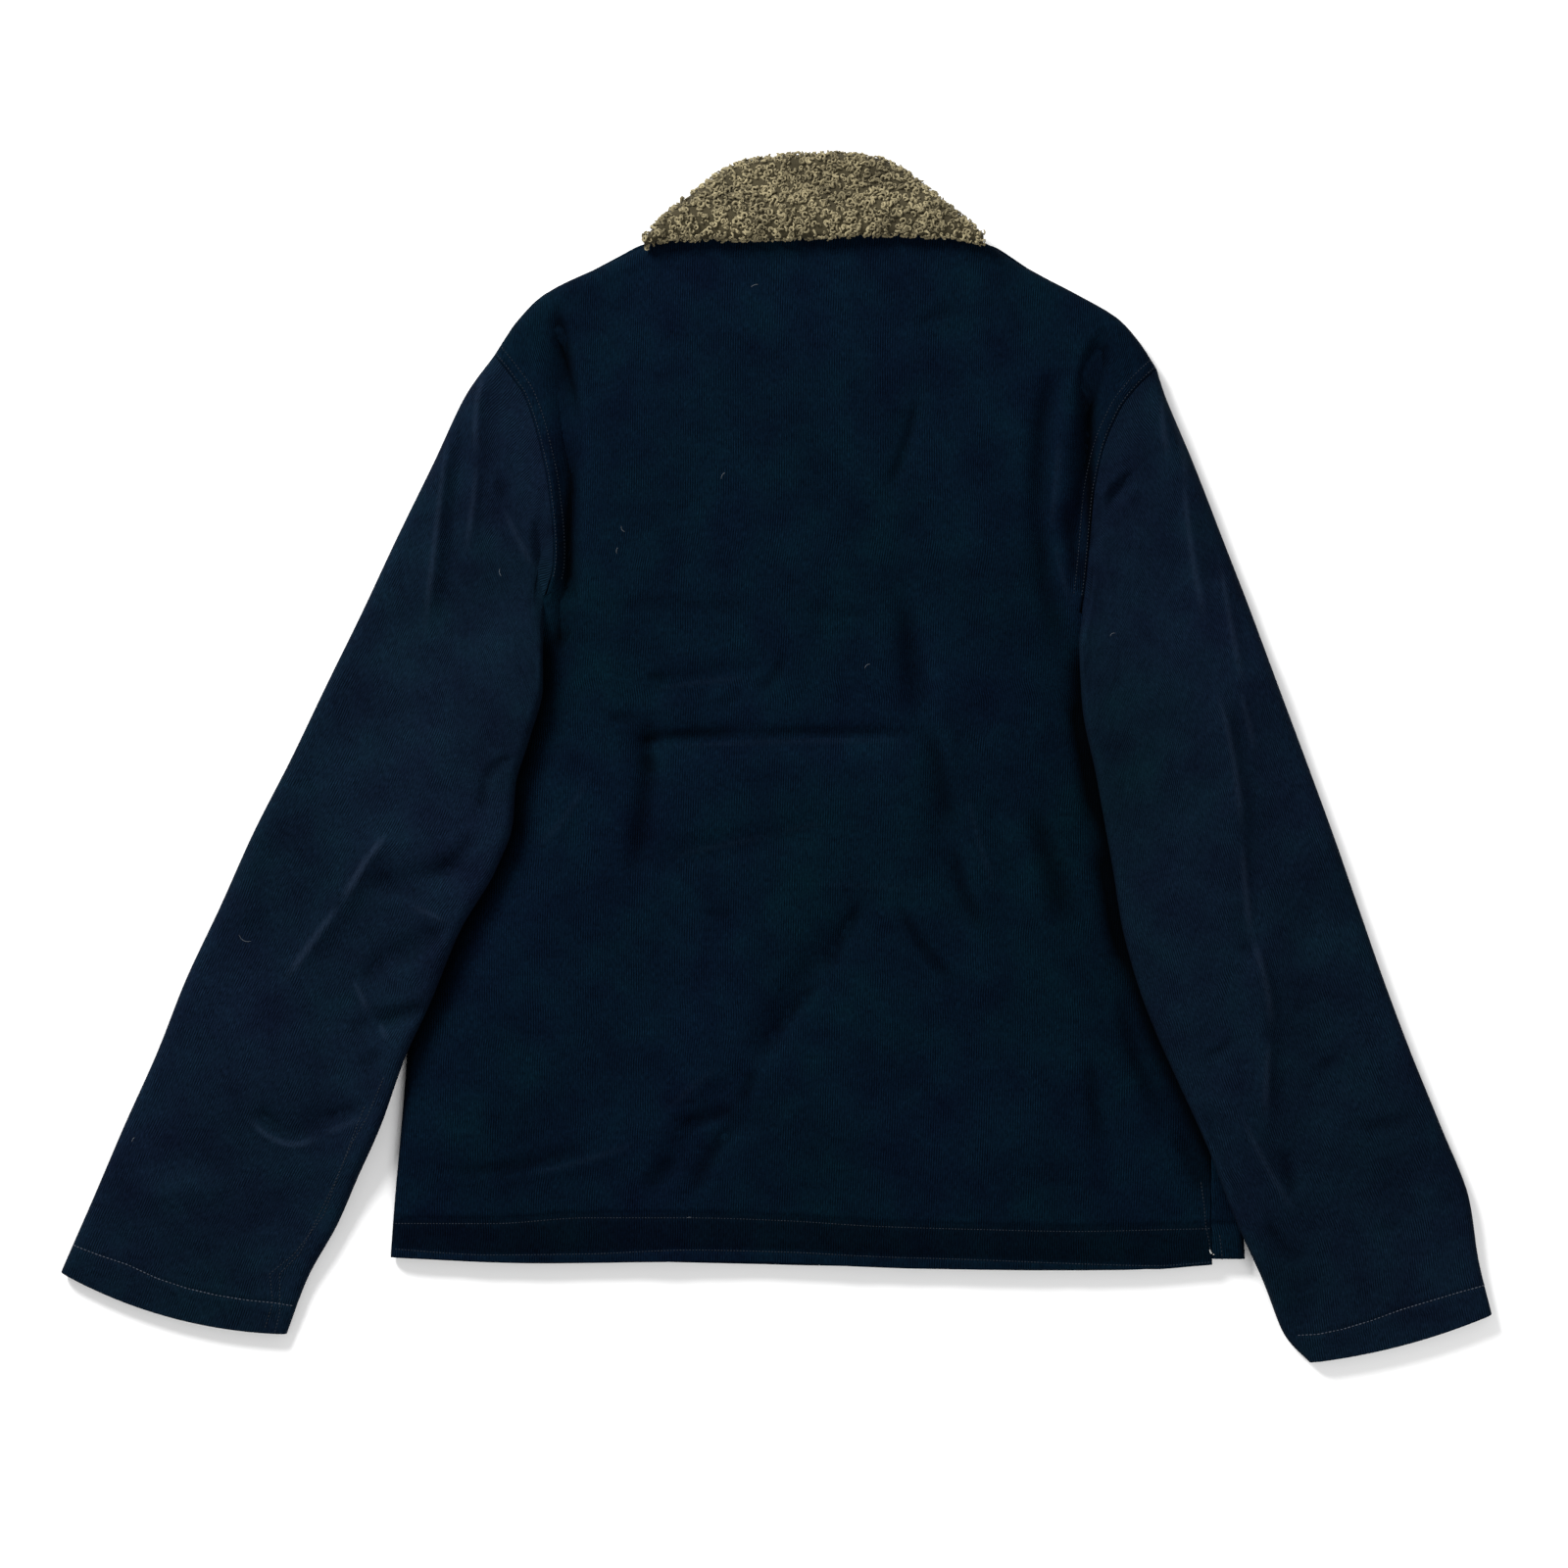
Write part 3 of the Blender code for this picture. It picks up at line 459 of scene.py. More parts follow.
def creases(table, x, y):
    """All creases of a table, added up at each point."""
    total = np.zeros(x.shape)
    for x0, y0, xm, ym, x1, y1, half, height in table:
        t = np.linspace(0.0, 1.0, 9)[:, None]
        px, py = photo([x0, xm, x1], [y0, ym, y1])
        a, m, b = (np.array(p) for p in zip(px, py))
        bend = 2.0 * m - (a + b) / 2.0
        line = (1 - t) ** 2 * a + 2 * t * (1 - t) * bend + t**2 * b
        reach = half * 4.6
        near = (x > line[:, 0].min() - reach) & (x < line[:, 0].max() + reach)
        near &= (y > line[:, 1].min() - reach) & (y < line[:, 1].max() + reach)
        if not near.any():
            continue
        gap, where = distance(np.stack([x[near], y[near]], axis=-1), line)
        length = np.linalg.norm(np.diff(line, axis=0), axis=1).sum()
        share = where / length
        ends = smooth(share / 0.28) * smooth((1.0 - share) / 0.34)
        wide = half * (0.75 + 0.5 * share)
        shape = bell(gap / wide) - 0.22 * bell((gap - 2.1 * wide) / (0.9 * wide))
        relief = RIDGE_RELIEF if height > 0 else TROUGH_RELIEF if height > DEEP else DEEP_RELIEF
        total[near] += height * relief * ends * shape
    return total


def cloud(x, y, size, seed):
    """Soft random swell between about -1 and 1."""
    rng = np.random.default_rng(seed)
    total = np.zeros(np.shape(x))
    for _ in range(9):
        turn, phase, scale = rng.uniform(0, 2 * math.pi), rng.uniform(0, 2 * math.pi), rng.uniform(0.7, 1.5)
        total += np.sin(2 * math.pi * (x * math.cos(turn) + y * math.sin(turn)) / (size * scale) + phase)
    return total / 3.0


def armhole(side, share):
    """Points on the armhole seam and the direction from it into the body."""
    rows = SLEEVE_LEFT if side < 0 else SLEEVE_RIGHT
    tip, foot = np.array(rows[0][:2], float), np.array(rows[0][2:4], float)
    way = foot - tip
    way /= np.linalg.norm(way)
    inward = np.array([-way[1], way[0]]) * -side
    share = np.asarray(share, float)
    depth = along(column(ARMHOLE, 0), column(ARMHOLE, 1 if side < 0 else 2), share)
    return tip + (foot - tip) * share[..., None] + inward * depth[..., None], inward


def edge_line(side):
    """The line that sleeve, armhole or body edge draws on the back, as y and x."""
    sleeve = SLEEVE_LEFT if side < 0 else SLEEVE_RIGHT
    seam = list(armhole(side, [0.0, 0.2, 0.4, 0.6, 0.8])[0])
    leave = -199 if side < 0 else -323
    inner = [np.array(row[2:4], float) for row in sleeve if row[3] > leave]
    edge = [np.array([row[1 if side < 0 else 3], row[0]], float) for row in SIDE if row[0] <= leave]
    points = sorted(seam + inner + edge, key=lambda p: -p[1])
    return np.array([p[1] for p in points]), np.array([p[0] for p in points])


LINES = {-1: edge_line(-1), 1: edge_line(1)}
ARM_LINES = {s: armhole(s, np.linspace(0, 1, 40))[0] for s in (-1, 1)}


def edge_x(side, y):
    return np.interp(-y, -LINES[side][0], LINES[side][1])


def body_top(x, y):
    """Height of the laid back, before its edges roll down."""
    middle = along(column(HEIGHT, 0), column(HEIGHT, 1), y)
    side = along(column(HEIGHT, 0), column(HEIGHT, 2), y)
    reach = np.minimum(smooth((x - edge_x(-1, y) + 6.0) / 56.0), smooth((edge_x(1, y) - x + 6.0) / 56.0))
    return side + (middle - side) * reach


def shoulder_line():
    (left, _), (right, _) = armhole(-1, 0.0), armhole(1, 0.0)
    share = np.linspace(0.0, 1.0, 60)
    rise = along(column(TOP_LINE, 0), column(TOP_LINE, 1), share)
    return left + (right - left) * share[:, None] + np.stack([0 * share, rise], axis=1)


SHOULDERS = shoulder_line()


def neck_part(x):
    """1 along the shoulder seams, 0 along the neck."""
    return 1.0 - smooth((x + 92.0) / 16.0) * smooth((150.0 - x) / 16.0)


def hem_rows(x):
    """Heights on the page of the two stitch rows of the hem."""
    px, upper = photo(column(HEM_STITCH, 0), column(HEM_STITCH, 1))
    _, lower = photo(0, column(HEM_STITCH, 2))
    return along(px, upper, x), along(px, lower, x)


# %% [markdown]
# ## Rows of the body
#
# The body is a stack of rows from the shoulders to the hem. Each row runs from the left boundary to the right one,
# bends up to the shoulder and neck line at the top and down to the hem line at the bottom. Many thin rows give the
# creases enough points; the few rows of the solids don't.

# %% Body rows
def body_rows(arm, foot, side_steps):
    """Left and right ends, fades and turn of each row."""
    rows = []
    for at in arm:
        left, right = armhole(-1, at)[0], armhole(1, at)[0]
        rows.append((*left, *right, 1.0 - 0.72 * at, 0.0, 0.0, 0.0, at))
    feet = np.linspace(0, 1, len(FOOT_LEFT))
    for at in foot:
        left = [np.interp(at, feet, column(FOOT_LEFT, c)) for c in (0, 1)]
        right = [np.interp(at, feet, column(FOOT_RIGHT, c)) for c in (0, 1)]
        rows.append((*left, *right, 0.28 * (1.0 - at), 0.0, float(smooth((at - 0.3) / 0.7)), 1.0, at))
    for y in side_steps:
        left = along(column(SIDE, 0), column(SIDE, 1), y)
        right = along(column(SIDE, 0), column(SIDE, 2), y)
        blend = float(smooth((36.0 - y) / 30.0))
        hem = float(smooth((-230.0 - y) / 104.0))
        rows.append((left, y + 2.0 * blend, right, y - 2.0 * blend, 0.0, hem, 1.0, 2.0, y))
    return np.array(rows)


# %% [markdown]
# ## A thin shell of cloth
#
# Cloth on a real jacket has two faces and an edge. The outer face is a fine grid that carries the creases, the inner
# one is four times sparser because nothing shows on it, and a rim closes them. A Solidify modifier would give both
# faces the same number of triangles, which is more than the back may have.

# %% Shell builder
SPARSE = 4
CLOTH_WALL = 1.6
FLOOR_CLEAR = 0.1
INNER_CLEAR = 1.0


def outward(grid, closed, sign):
    """Unit normals of a grid of points."""
    down = np.gradient(grid, axis=0)
    right = (np.roll(grid, -1, 1) - np.roll(grid, 1, 1)) / 2.0 if closed else np.gradient(grid, axis=1)
    normal = np.cross(down, right) * sign
    return normal / np.maximum(np.linalg.norm(normal, axis=-1, keepdims=True), 1e-9)


def rim(fine, coarse, forward):
    """Triangles between a fine border and the sparse border opposite it."""
    faces = []
    for n in range(len(coarse) - 1):
        part = fine[n * SPARSE:(n + 1) * SPARSE + 1]
        low, high = coarse[n], coarse[n + 1]
        middle = SPARSE // 2
        faces += [(part[k], part[k + 1], low if k < middle else high) for k in range(SPARSE)]
        faces.append((part[middle], high, low))
    return faces if forward else [face[::-1] for face in faces]


def to_world(points):
    return (np.asarray(points, float) - (*CENTRE, 0.0)) * MM


def make_object(name, points, faces, materials):
    mesh = bpy.data.meshes.new(name)
    mesh.from_pydata(to_world(points).tolist(), [], faces)
    for material in materials:
        mesh.materials.append(material)
    mesh.polygons.foreach_set("use_smooth", [True] * len(mesh.polygons))
    made = bpy.data.objects.new(name, mesh)
    bpy.context.scene.collection.objects.link(made)
    return made


def shell(name, outer, wall, uv, material, pale_and_painted_shade=None, closed=False, sign=1.0):
    """Closed shell from outer points and a wall, or inner points, with UV in metres and a mark for paler ridges and
    painted shade.
    """
    outer = np.concatenate([outer[..., :2], np.maximum(outer[..., 2:], FLOOR_CLEAR)], -1)
    rows, cols = outer.shape[:2]
    if np.ndim(wall) < 3:
        wall = outer - outward(outer, closed, sign) * np.broadcast_to(wall, (rows, cols))[..., None]
    inner = np.concatenate([wall[..., :2], np.maximum(wall[..., 2:], INNER_CLEAR)], -1)
    pick_rows = np.arange(0, rows, SPARSE)
    pick_cols = np.arange(0, cols, SPARSE)
    inner = inner[np.ix_(pick_rows, pick_cols)]
    ids = np.arange(rows * cols).reshape(rows, cols)
    low = rows * cols + np.arange(inner.shape[0] * inner.shape[1]).reshape(inner.shape[:2])
    if closed:
        ids, low = np.hstack([ids, ids[:, :1]]), np.hstack([low, low[:, :1]])
    quads = np.stack([ids[:-1, :-1], ids[1:, :-1], ids[1:, 1:], ids[:-1, 1:]], -1).reshape(-1, 4).tolist()
    quads += np.stack([low[:-1, :-1], low[:-1, 1:], low[1:, 1:], low[1:, :-1]], -1).reshape(-1, 4).tolist()
    tris = rim(ids[0].tolist(), low[0].tolist(), True) + rim(ids[-1].tolist(), low[-1].tolist(), False)
    if not closed:
        tris += rim(ids[:, 0].tolist(), low[:, 0].tolist(), False) + rim(ids[:, -1].tolist(), low[:, -1].tolist(), True)
    faces = quads + tris
    if sign < 0:
        faces = [face[::-1] for face in faces]
    made = make_object(name, np.concatenate([outer.reshape(-1, 3), inner.reshape(-1, 3)]), faces, [material])
    mesh = made.data
    both = np.concatenate([uv.reshape(-1, 2), uv[np.ix_(pick_rows, pick_cols)].reshape(-1, 2)]) * MM
    corner = np.empty(len(mesh.loops), np.int32)
    mesh.loops.foreach_get("vertex_index", corner)
    values = both[corner]
    if closed:
        around = uv[..., 0].max() * MM
        starts = np.cumsum([0] + [len(face) for face in faces])[:-1]
        most = np.repeat(np.maximum.reduceat(values[:, 0], starts), [len(face) for face in faces])
        values[:, 0] += np.where(most - values[:, 0] > around / 2.0, around, 0.0)
    mesh.uv_layers.new(name="cloth").data.foreach_set("uv", values.ravel())
    mark = np.zeros(uv.shape[:2]) if pale_and_painted_shade is None else pale_and_painted_shade
    mark = np.concatenate([mark.ravel(), mark[np.ix_(pick_rows, pick_cols)].ravel()])
    mesh.attributes.new("pale_and_painted_shade", "FLOAT", "POINT").data.foreach_set("value", mark.astype(np.float32))
    print(name, "triangles", sum(len(face) - 2 for face in faces))
    return made


def grid_uv(grid, middle_column, flat_rows=True):
    """Length across each row from its middle, and along the middle column."""
    across = np.concatenate([np.zeros((len(grid), 1)), np.cumsum(np.linalg.norm(np.diff(grid, axis=1), axis=-1), 1)], 1)
    down = np.concatenate([[0.0], np.cumsum(np.linalg.norm(np.diff(grid[:, middle_column], axis=0), axis=-1))])
    if flat_rows:
        across = across - across[:, middle_column:middle_column + 1]
    return np.stack([across, np.broadcast_to(-down[:, None], across.shape)], axis=-1)


def folds(table, x, y):
    """Broad soft folds, as on the solids."""
    total = np.zeros(np.shape(x))
    for x0, y0, xb, yb, x1, y1, half, height in table:
        t = np.linspace(0.0, 1.0, 7)[:, None]
        line = (1 - t) ** 2 * [x0, y0] + 2 * t * (1 - t) * [xb, yb] + t**2 * [x1, y1]
        gap, where = distance(np.stack([x, y], axis=-1), line)
        share = where / np.linalg.norm(np.diff(line, axis=0), axis=1).sum()
        total += height * bell(gap / half) * (0.15 + 0.85 * smooth(share / 0.2) * smooth((1.0 - share) / 0.25))
    return total


def ridge_pale_and_painted_shade(table, x, y):
    """Above 0 along the ridges, where the colour is paler; below 0 in the troughs, painted shade where little light
    comes.
    """
    ridges = [(*row[:6], 2.0, row[7] / 2.4) for row in table if row[7] > 0]
    troughs = [(*row[:6], row[6] * 1.15, row[7] / 3.2) for row in table if DEEP < row[7] < 0]
    pale_and_painted_shade = np.clip(creases(ridges, x, y) * 2.2, 0.0, 1.0)
    return pale_and_painted_shade + np.clip(creases(troughs, x, y), -0.8, 0.0) * (pale_and_painted_shade < 0.02)


# %% [markdown]
# ## Cloth, thread and pile materials
#
# The cloth is a dark ribbed cotton: fine cords along the piece, uneven and broken, with a soft nap that is bluer in
# some patches and greener in others. The cords and the nap are two node groups that every cloth piece shares. The
# cords follow the piece's own UV, so they run down each sleeve as the cut cloth does.

# %% Node helpers
def node(tree, kind, sockets=None, **settings):
    made = tree.nodes.new(kind)
    for key, value in settings.items():
        setattr(made, key, value)
    for key, value in (sockets or {}).items():
        if isinstance(value, bpy.types.NodeSocket):
            tree.links.new(value, made.inputs[key])
        else:
            made.inputs[key].default_value = value
    return made


def maths(tree, operation, a, b=0.0, c=0.0):
    return node(tree, "ShaderNodeMath", {0: a, 1: b, 2: c}, operation=operation).outputs[0]


def noise(tree, vector, scale, detail=2.0, rough=0.5):
    sockets = {"Vector": vector, "Scale": scale, "Detail": detail, "Roughness": rough}
    return node(tree, "ShaderNodeTexNoise", sockets).outputs["Fac"]


def colour_mix(tree, factor, a, b, blend="MIX"):
    made = node(tree, "ShaderNodeMix", data_type="RGBA", blend_type=blend, clamp_factor=True)
    for socket, value in ((made.inputs[0], factor), (made.inputs[6], a), (made.inputs[7], b)):
        if isinstance(value, bpy.types.NodeSocket):
            tree.links.new(value, socket)
        else:
            socket.default_value = value
    return made.outputs[2]


def group(name, inputs, outputs):
    tree = bpy.data.node_groups.new(name, "ShaderNodeTree")
    for title, kind, value in inputs:
        socket = tree.interface.new_socket(title, in_out="INPUT", socket_type=kind)
        if value is not None:
            socket.default_value = value
    for title in outputs:
        tree.interface.new_socket(title, in_out="OUTPUT", socket_type="NodeSocketFloat")
    return tree, tree.nodes.new("NodeGroupInput").outputs, tree.nodes.new("NodeGroupOutput").inputs


# %% [markdown]
# ### The weave
#
# The real cloth has fine cords that are broken and uneven. An image could show them, but a sine wave across the
# cloth, bent by noise and faded in patches, needs no file and follows each piece at any size.

# %% Ribbed weave
weave, weave_in, weave_out = group(
    "ribbed weave",
    [
        ("Cloth", "NodeSocketVector", None), ("Cord pitch", "NodeSocketFloat", 0.0016),
        ("Unevenness", "NodeSocketFloat", 0.00035),
    ],
    ["Cords", "Flecks"],
)
slow = noise(weave, weave_in["Cloth"], 60.0, 2.0)
across = node(weave, "ShaderNodeSeparateXYZ", {0: weave_in["Cloth"]}).outputs[0]
wander = maths(weave, "MULTIPLY", maths(weave, "SUBTRACT", slow, 0.5), weave_in["Unevenness"])
turns = maths(weave, "DIVIDE", maths(weave, "ADD", across, wander), weave_in["Cord pitch"])
wave = maths(weave, "SINE", maths(weave, "MULTIPLY", turns, 2.0 * math.pi))
long_way = node(weave, "ShaderNodeMapping", {"Vector": weave_in["Cloth"], "Scale": (1.0, 0.22, 1.0)}).outputs[0]
broken = noise(weave, long_way, 900.0, 2.0, 0.6)
patch = noise(weave, weave_in["Cloth"], 85.0, 2.0)
patch = maths(weave, "MULTIPLY_ADD", patch, 5.0, -1.9)
patch = node(weave, "ShaderNodeClamp", {"Value": patch, "Min": 0.15, "Max": 1.0}).outputs[0]
cords = maths(weave, "MULTIPLY_ADD", maths(weave, "MULTIPLY", wave, patch), 0.5, 0.5)
weave.links.new(maths(weave, "MULTIPLY", cords, broken), weave_out["Cords"])
weave.links.new(noise(weave, long_way, 1500.0, 1.0, 0.7), weave_out["Flecks"])

# %% [markdown]
# ### The nap
#
# Worn cotton has a soft nap whose tone changes over a few centimetres. It could be painted by hand. Two noises, one
# small and one wide, give the same unevenness on every piece without a seam.

# %% Nap
nap, nap_in, nap_out = group("soft nap", [("Place", "NodeSocketVector", None)], ["Blotches", "Patches"])
nap.links.new(noise(nap, nap_in["Place"], 34.0, 4.0, 0.55), nap_out["Blotches"])
nap.links.new(noise(nap, nap_in["Place"], 7.0, 2.0, 0.5), nap_out["Patches"])


# %% [markdown]
# ### The dyed cloth
#
# The dye is a dark navy that turns to teal in places and is paler along the ridges. One function makes the material,
# so body and sleeves differ only in their colours; the sleeves' lighter colours are painted sheen on the nap. Marks on
# the mesh say where the colour is paler along the ridges and where shade is painted into it.

# %% Cloth material
def cloth_material(name, blue, teal, pale, brightness):
    """Ribbed navy cotton: blue and teal by patches, paler along the ridges, darkened where shade is painted."""
    made = bpy.data.materials.new(name)
    made.use_nodes = True
    tree = made.node_tree
    shader = tree.nodes["Principled BSDF"]
    cloth = node(tree, "ShaderNodeUVMap", uv_map="cloth").outputs[0]
    place = node(tree, "ShaderNodeTexCoord").outputs["Object"]
    ribs = node(tree, "ShaderNodeGroup", node_tree=weave)
    tree.links.new(cloth, ribs.inputs["Cloth"])
    soft = node(tree, "ShaderNodeGroup", node_tree=nap)
    tree.links.new(place, soft.inputs["Place"])
    shift = maths(tree, "ADD", soft.outputs["Blotches"], soft.outputs["Patches"])
    shift = maths(tree, "MULTIPLY_ADD", shift, 1.2, -0.7)
    base = colour_mix(tree, shift, (*blue, 1.0), (*teal, 1.0))
    light = maths(tree, "MULTIPLY_ADD", soft.outputs["Blotches"], 1.3, 0.35)
    light = maths(tree, "MULTIPLY", light, maths(tree, "MULTIPLY_ADD", ribs.outputs["Cords"], 2.6, 0.35))
    light = maths(tree, "MULTIPLY", light, maths(tree, "MULTIPLY_ADD", ribs.outputs["Flecks"], 1.8, 0.1))
    light = maths(tree, "MULTIPLY", light, brightness)
    grey = node(tree, "ShaderNodeCombineColor", {0: light, 1: light, 2: light}).outputs[0]
    base = colour_mix(tree, 1.0, base, grey, "MULTIPLY")
    # Paler along the ridges, where the mark on the mesh is above 0.
    pale_and_painted_shade = node(tree, "ShaderNodeAttribute", attribute_name="pale_and_painted_shade", attribute_type="GEOMETRY").outputs["Fac"]
    pale_and_painted_shade = maths(tree, "MULTIPLY", pale_and_painted_shade, maths(tree, "MULTIPLY_ADD", ribs.outputs["Flecks"], 1.1, 0.0))
    base = colour_mix(tree, pale_and_painted_shade, base, (*pale, 1.0))
    # Painted shade: where the mark is below 0, the colour is darkened, to no less than 12 per cent.
    mark = node(tree, "ShaderNodeAttribute", attribute_name="pale_and_painted_shade", attribute_type="GEOMETRY").outputs["Fac"]
    shade = node(tree, "ShaderNodeClamp", {"Value": maths(tree, "ADD", mark, 1.0), "Min": 0.12, "Max": 1.0}).outputs[0]
    grey = node(tree, "ShaderNodeCombineColor", {0: shade, 1: shade, 2: shade}).outputs[0]
    base = colour_mix(tree, 1.0, base, grey, "MULTIPLY")
    tree.links.new(base, shader.inputs["Base Color"])
    rough = maths(tree, "MULTIPLY_ADD", ribs.outputs["Flecks"], 0.2, 0.75)
    tree.links.new(rough, shader.inputs["Roughness"])
    height = maths(tree, "ADD", ribs.outputs["Cords"], maths(tree, "MULTIPLY", ribs.outputs["Flecks"], 0.5))
    bump = node(tree, "ShaderNodeBump", {"Height": height, "Strength": 1.0, "Distance": 0.0005})
    tree.links.new(bump.outputs[0], shader.inputs["Normal"])
    shader.inputs["Specular IOR Level"].default_value = 0.01
    shader.inputs["Sheen Weight"].default_value = 0.003
    shader.inputs["Sheen Roughness"].default_value = 0.5
    shader.inputs["Sheen Tint"].default_value = (0.45, 0.6, 1.0, 1.0)
    return made


BLUE, TEAL, PALE = (0.0013, 0.0037, 0.0108), (0.0006, 0.0045, 0.0076), (0.014, 0.023, 0.042)
# The sleeves' lighter colours are painted sheen, where light falls on the nap.
SLEEVE_BLUE_PAINTED_SHEEN, SLEEVE_TEAL_PAINTED_SHEEN = (0.0028, 0.0053, 0.0142), (0.0014, 0.0059, 0.0100)
body_cloth = cloth_material("navy ribbed cotton", BLUE, TEAL, PALE, 1.0)
sleeve_cloth_painted_sheen = cloth_material("navy ribbed cotton, painted sheen", SLEEVE_BLUE_PAINTED_SHEEN, SLEEVE_TEAL_PAINTED_SHEEN, PALE, 1.0)


# %% [markdown]
# ### Thread and pile
#
# Thread is a little lighter than the cloth, and pile has pale locks on a dark ground, whose darkness is painted shade
# under the locks. Both could share one material, but pile also takes a tone of its own for each lock.

# %% Thread and pile materials
def thread_material(name, colour):
    made = bpy.data.materials.new(name)
    made.use_nodes = True
    tree = made.node_tree
    shader = tree.nodes["Principled BSDF"]
    place = node(tree, "ShaderNodeTexCoord").outputs["Object"]
    shade = noise(tree, place, 260.0, 2.0)
    dim = tuple(c * 0.4 for c in colour)
    tree.links.new(colour_mix(tree, shade, (*dim, 1.0), (*colour, 1.0)), shader.inputs["Base Color"])
    twist = noise(tree, place, 2600.0, 1.0)
    bump = node(tree, "ShaderNodeBump", {"Height": twist, "Strength": 0.5, "Distance": 0.0002})
    tree.links.new(bump.outputs[0], shader.inputs["Normal"])
    shader.inputs["Roughness"].default_value = 0.7
    shader.inputs["Specular IOR Level"].default_value = 0.15
    return made


def pile_material(name, dark, light):
    """Curly pile: each lock has its own tone between the dark and the light colour."""
    made = bpy.data.materials.new(name)
    made.use_nodes = True
    tree = made.node_tree
    shader = tree.nodes["Principled BSDF"]
    place = node(tree, "ShaderNodeTexCoord").outputs["Object"]
    tone = node(tree, "ShaderNodeAttribute", attribute_name="tone", attribute_type="GEOMETRY").outputs["Fac"]
    wide = noise(tree, place, 45.0, 3.0)
    strands = noise(tree, place, 1400.0, 2.0, 0.6)
    mixed = maths(tree, "MULTIPLY_ADD", tone, 0.42, maths(tree, "MULTIPLY_ADD", wide, 0.9, -0.14))
    mixed = maths(tree, "ADD", mixed, maths(tree, "MULTIPLY_ADD", strands, 0.6, -0.3))
    tree.links.new(colour_mix(tree, mixed, (*dark, 1.0), (*light, 1.0)), shader.inputs["Base Color"])
    bump = node(tree, "ShaderNodeBump", {"Height": strands, "Strength": 0.8, "Distance": 0.0006})
    tree.links.new(bump.outputs[0], shader.inputs["Normal"])
    shader.inputs["Roughness"].default_value = 0.9
    shader.inputs["Specular IOR Level"].default_value = 0.15
    shader.inputs["Sheen Weight"].default_value = 0.04
    return made


hem_thread = thread_material("hem thread", (0.015, 0.021, 0.031))
cuff_thread = thread_material("cuff thread", (0.055, 0.068, 0.092))
pile_locks = pile_material("olive pile locks", (0.026, 0.021, 0.010), (0.335, 0.285, 0.165))
# The ground's dark colours are painted shade under the locks.
pile_ground_painted_shade = pile_material("olive pile ground, painted shade", (0.022, 0.018, 0.009), (0.070, 0.058, 0.030))


# %% [markdown]
# ## The back
#
# The back is one panel. It starts flat on the floor under the left edge, rolls up round it, crosses over and ends at
# the armhole and side seams. The seam edge is raised where the allowance is felled down and puckered by two stitch
# rows. The hem is a casing with a dark ditch above it and slanted puckers in it.

# %% Dark folds
# Centres of the black folds beside the armholes, in photo pixels. The shade is painted, because the relief alone
# doesn't get as dark as the real fold.
ARM_FOLDS = (
    (
        (565, 300), (570, 325), (577, 367), (582, 400), (582, 467), (582, 500), (580, 533), (580, 600),
        (577, 633), (568, 667),
    ),
    (
        (1136, 330), (1128, 350), (1120, 375), (1114, 400), (1112, 425), (1111, 475), (1112, 500), (1114, 550),
        (1115, 600), (1108, 620),
    ),
)


FOLD_SHADE, FOLD_WIDTH = 0.9, 4.2
SLEEVE_SHADE, SLEEVE_WIDTH = 0.85, 8.5
DARKEST = -0.88


def contact_shade(x, y):
    """Below 0 where cloth lies so close that hardly any light comes: armhole folds, and the body beside each sleeve."""
    place = np.stack([x, y], axis=-1)
    total = np.zeros(np.shape(x))
    for points in ARM_FOLDS:
        px, py = photo([p[0] for p in points], [p[1] for p in points])
        line = np.stack([px, py], axis=-1)
        whole = np.linalg.norm(np.diff(line, axis=0), axis=1).sum()
        gap, where = distance(place, line)
        total -= FOLD_SHADE * bell(gap / FOLD_WIDTH) * smooth(where / 30.0) * smooth((whole - where) / 14.0)
    for table in (SLEEVE_LEFT, SLEEVE_RIGHT):
        line = np.array([row[2:4] for row in table], float)
        gap, where = distance(place, line)
        total -= SLEEVE_SHADE * bell(gap / SLEEVE_WIDTH) * smooth((where - 12.0) / 30.0)
    return np.clip(total, DARKEST, 0.0)


# %% [markdown]
# ### The surface of the back
#
# Folds, creases, seams and hem all change the height of one sheet. They could be sculpted. Sums of simple shapes
# keep each one movable, and the same sum gives every point of the grid.

# %% Back surface
EDGE_STEPS = np.array([0, 0.8, 1.6, 2.4, 3.3, 4.2, 5.1, 6.1, 7.1, 8.1, 9.3, 10.7, 12.3, 14.2, 16.8, 20.4, 25.0])
ACROSS = 203
ARM_ROWS = (1.9, 7.3)
FOOT_OVERLAP = 2.8


def hem_relief(x, y):
    """Ditch, casing, puckers and turned edge of the hem."""
    upper, lower = hem_rows(x)
    t = (y - lower) / (upper - lower)
    casing = np.where((t > 0) & (t < 1), np.sin(math.pi * np.clip(t, 0, 1)) ** 0.7, 0.0)
    lean = x + 0.55 * (y - lower)
    ripple = np.sin(2 * math.pi * (lean + 3.0 * cloud(x, 0 * y, 70.0, 11)) / 9.5)
    ripple = ripple * (0.55 + 0.45 * cloud(x, 0 * y, 120.0, 12))
    relief = casing * (0.9 + 0.34 * ripple) - 1.5 * bell((y - upper - 2.6) / 1.9)
    relief += 0.5 * smooth((lower - y) / 1.4) - 0.45 * bell((y - upper) / 0.9) - 0.45 * bell((y - lower) / 0.9)
    return relief * smooth((upper + 16.0 - y) / 6.0)


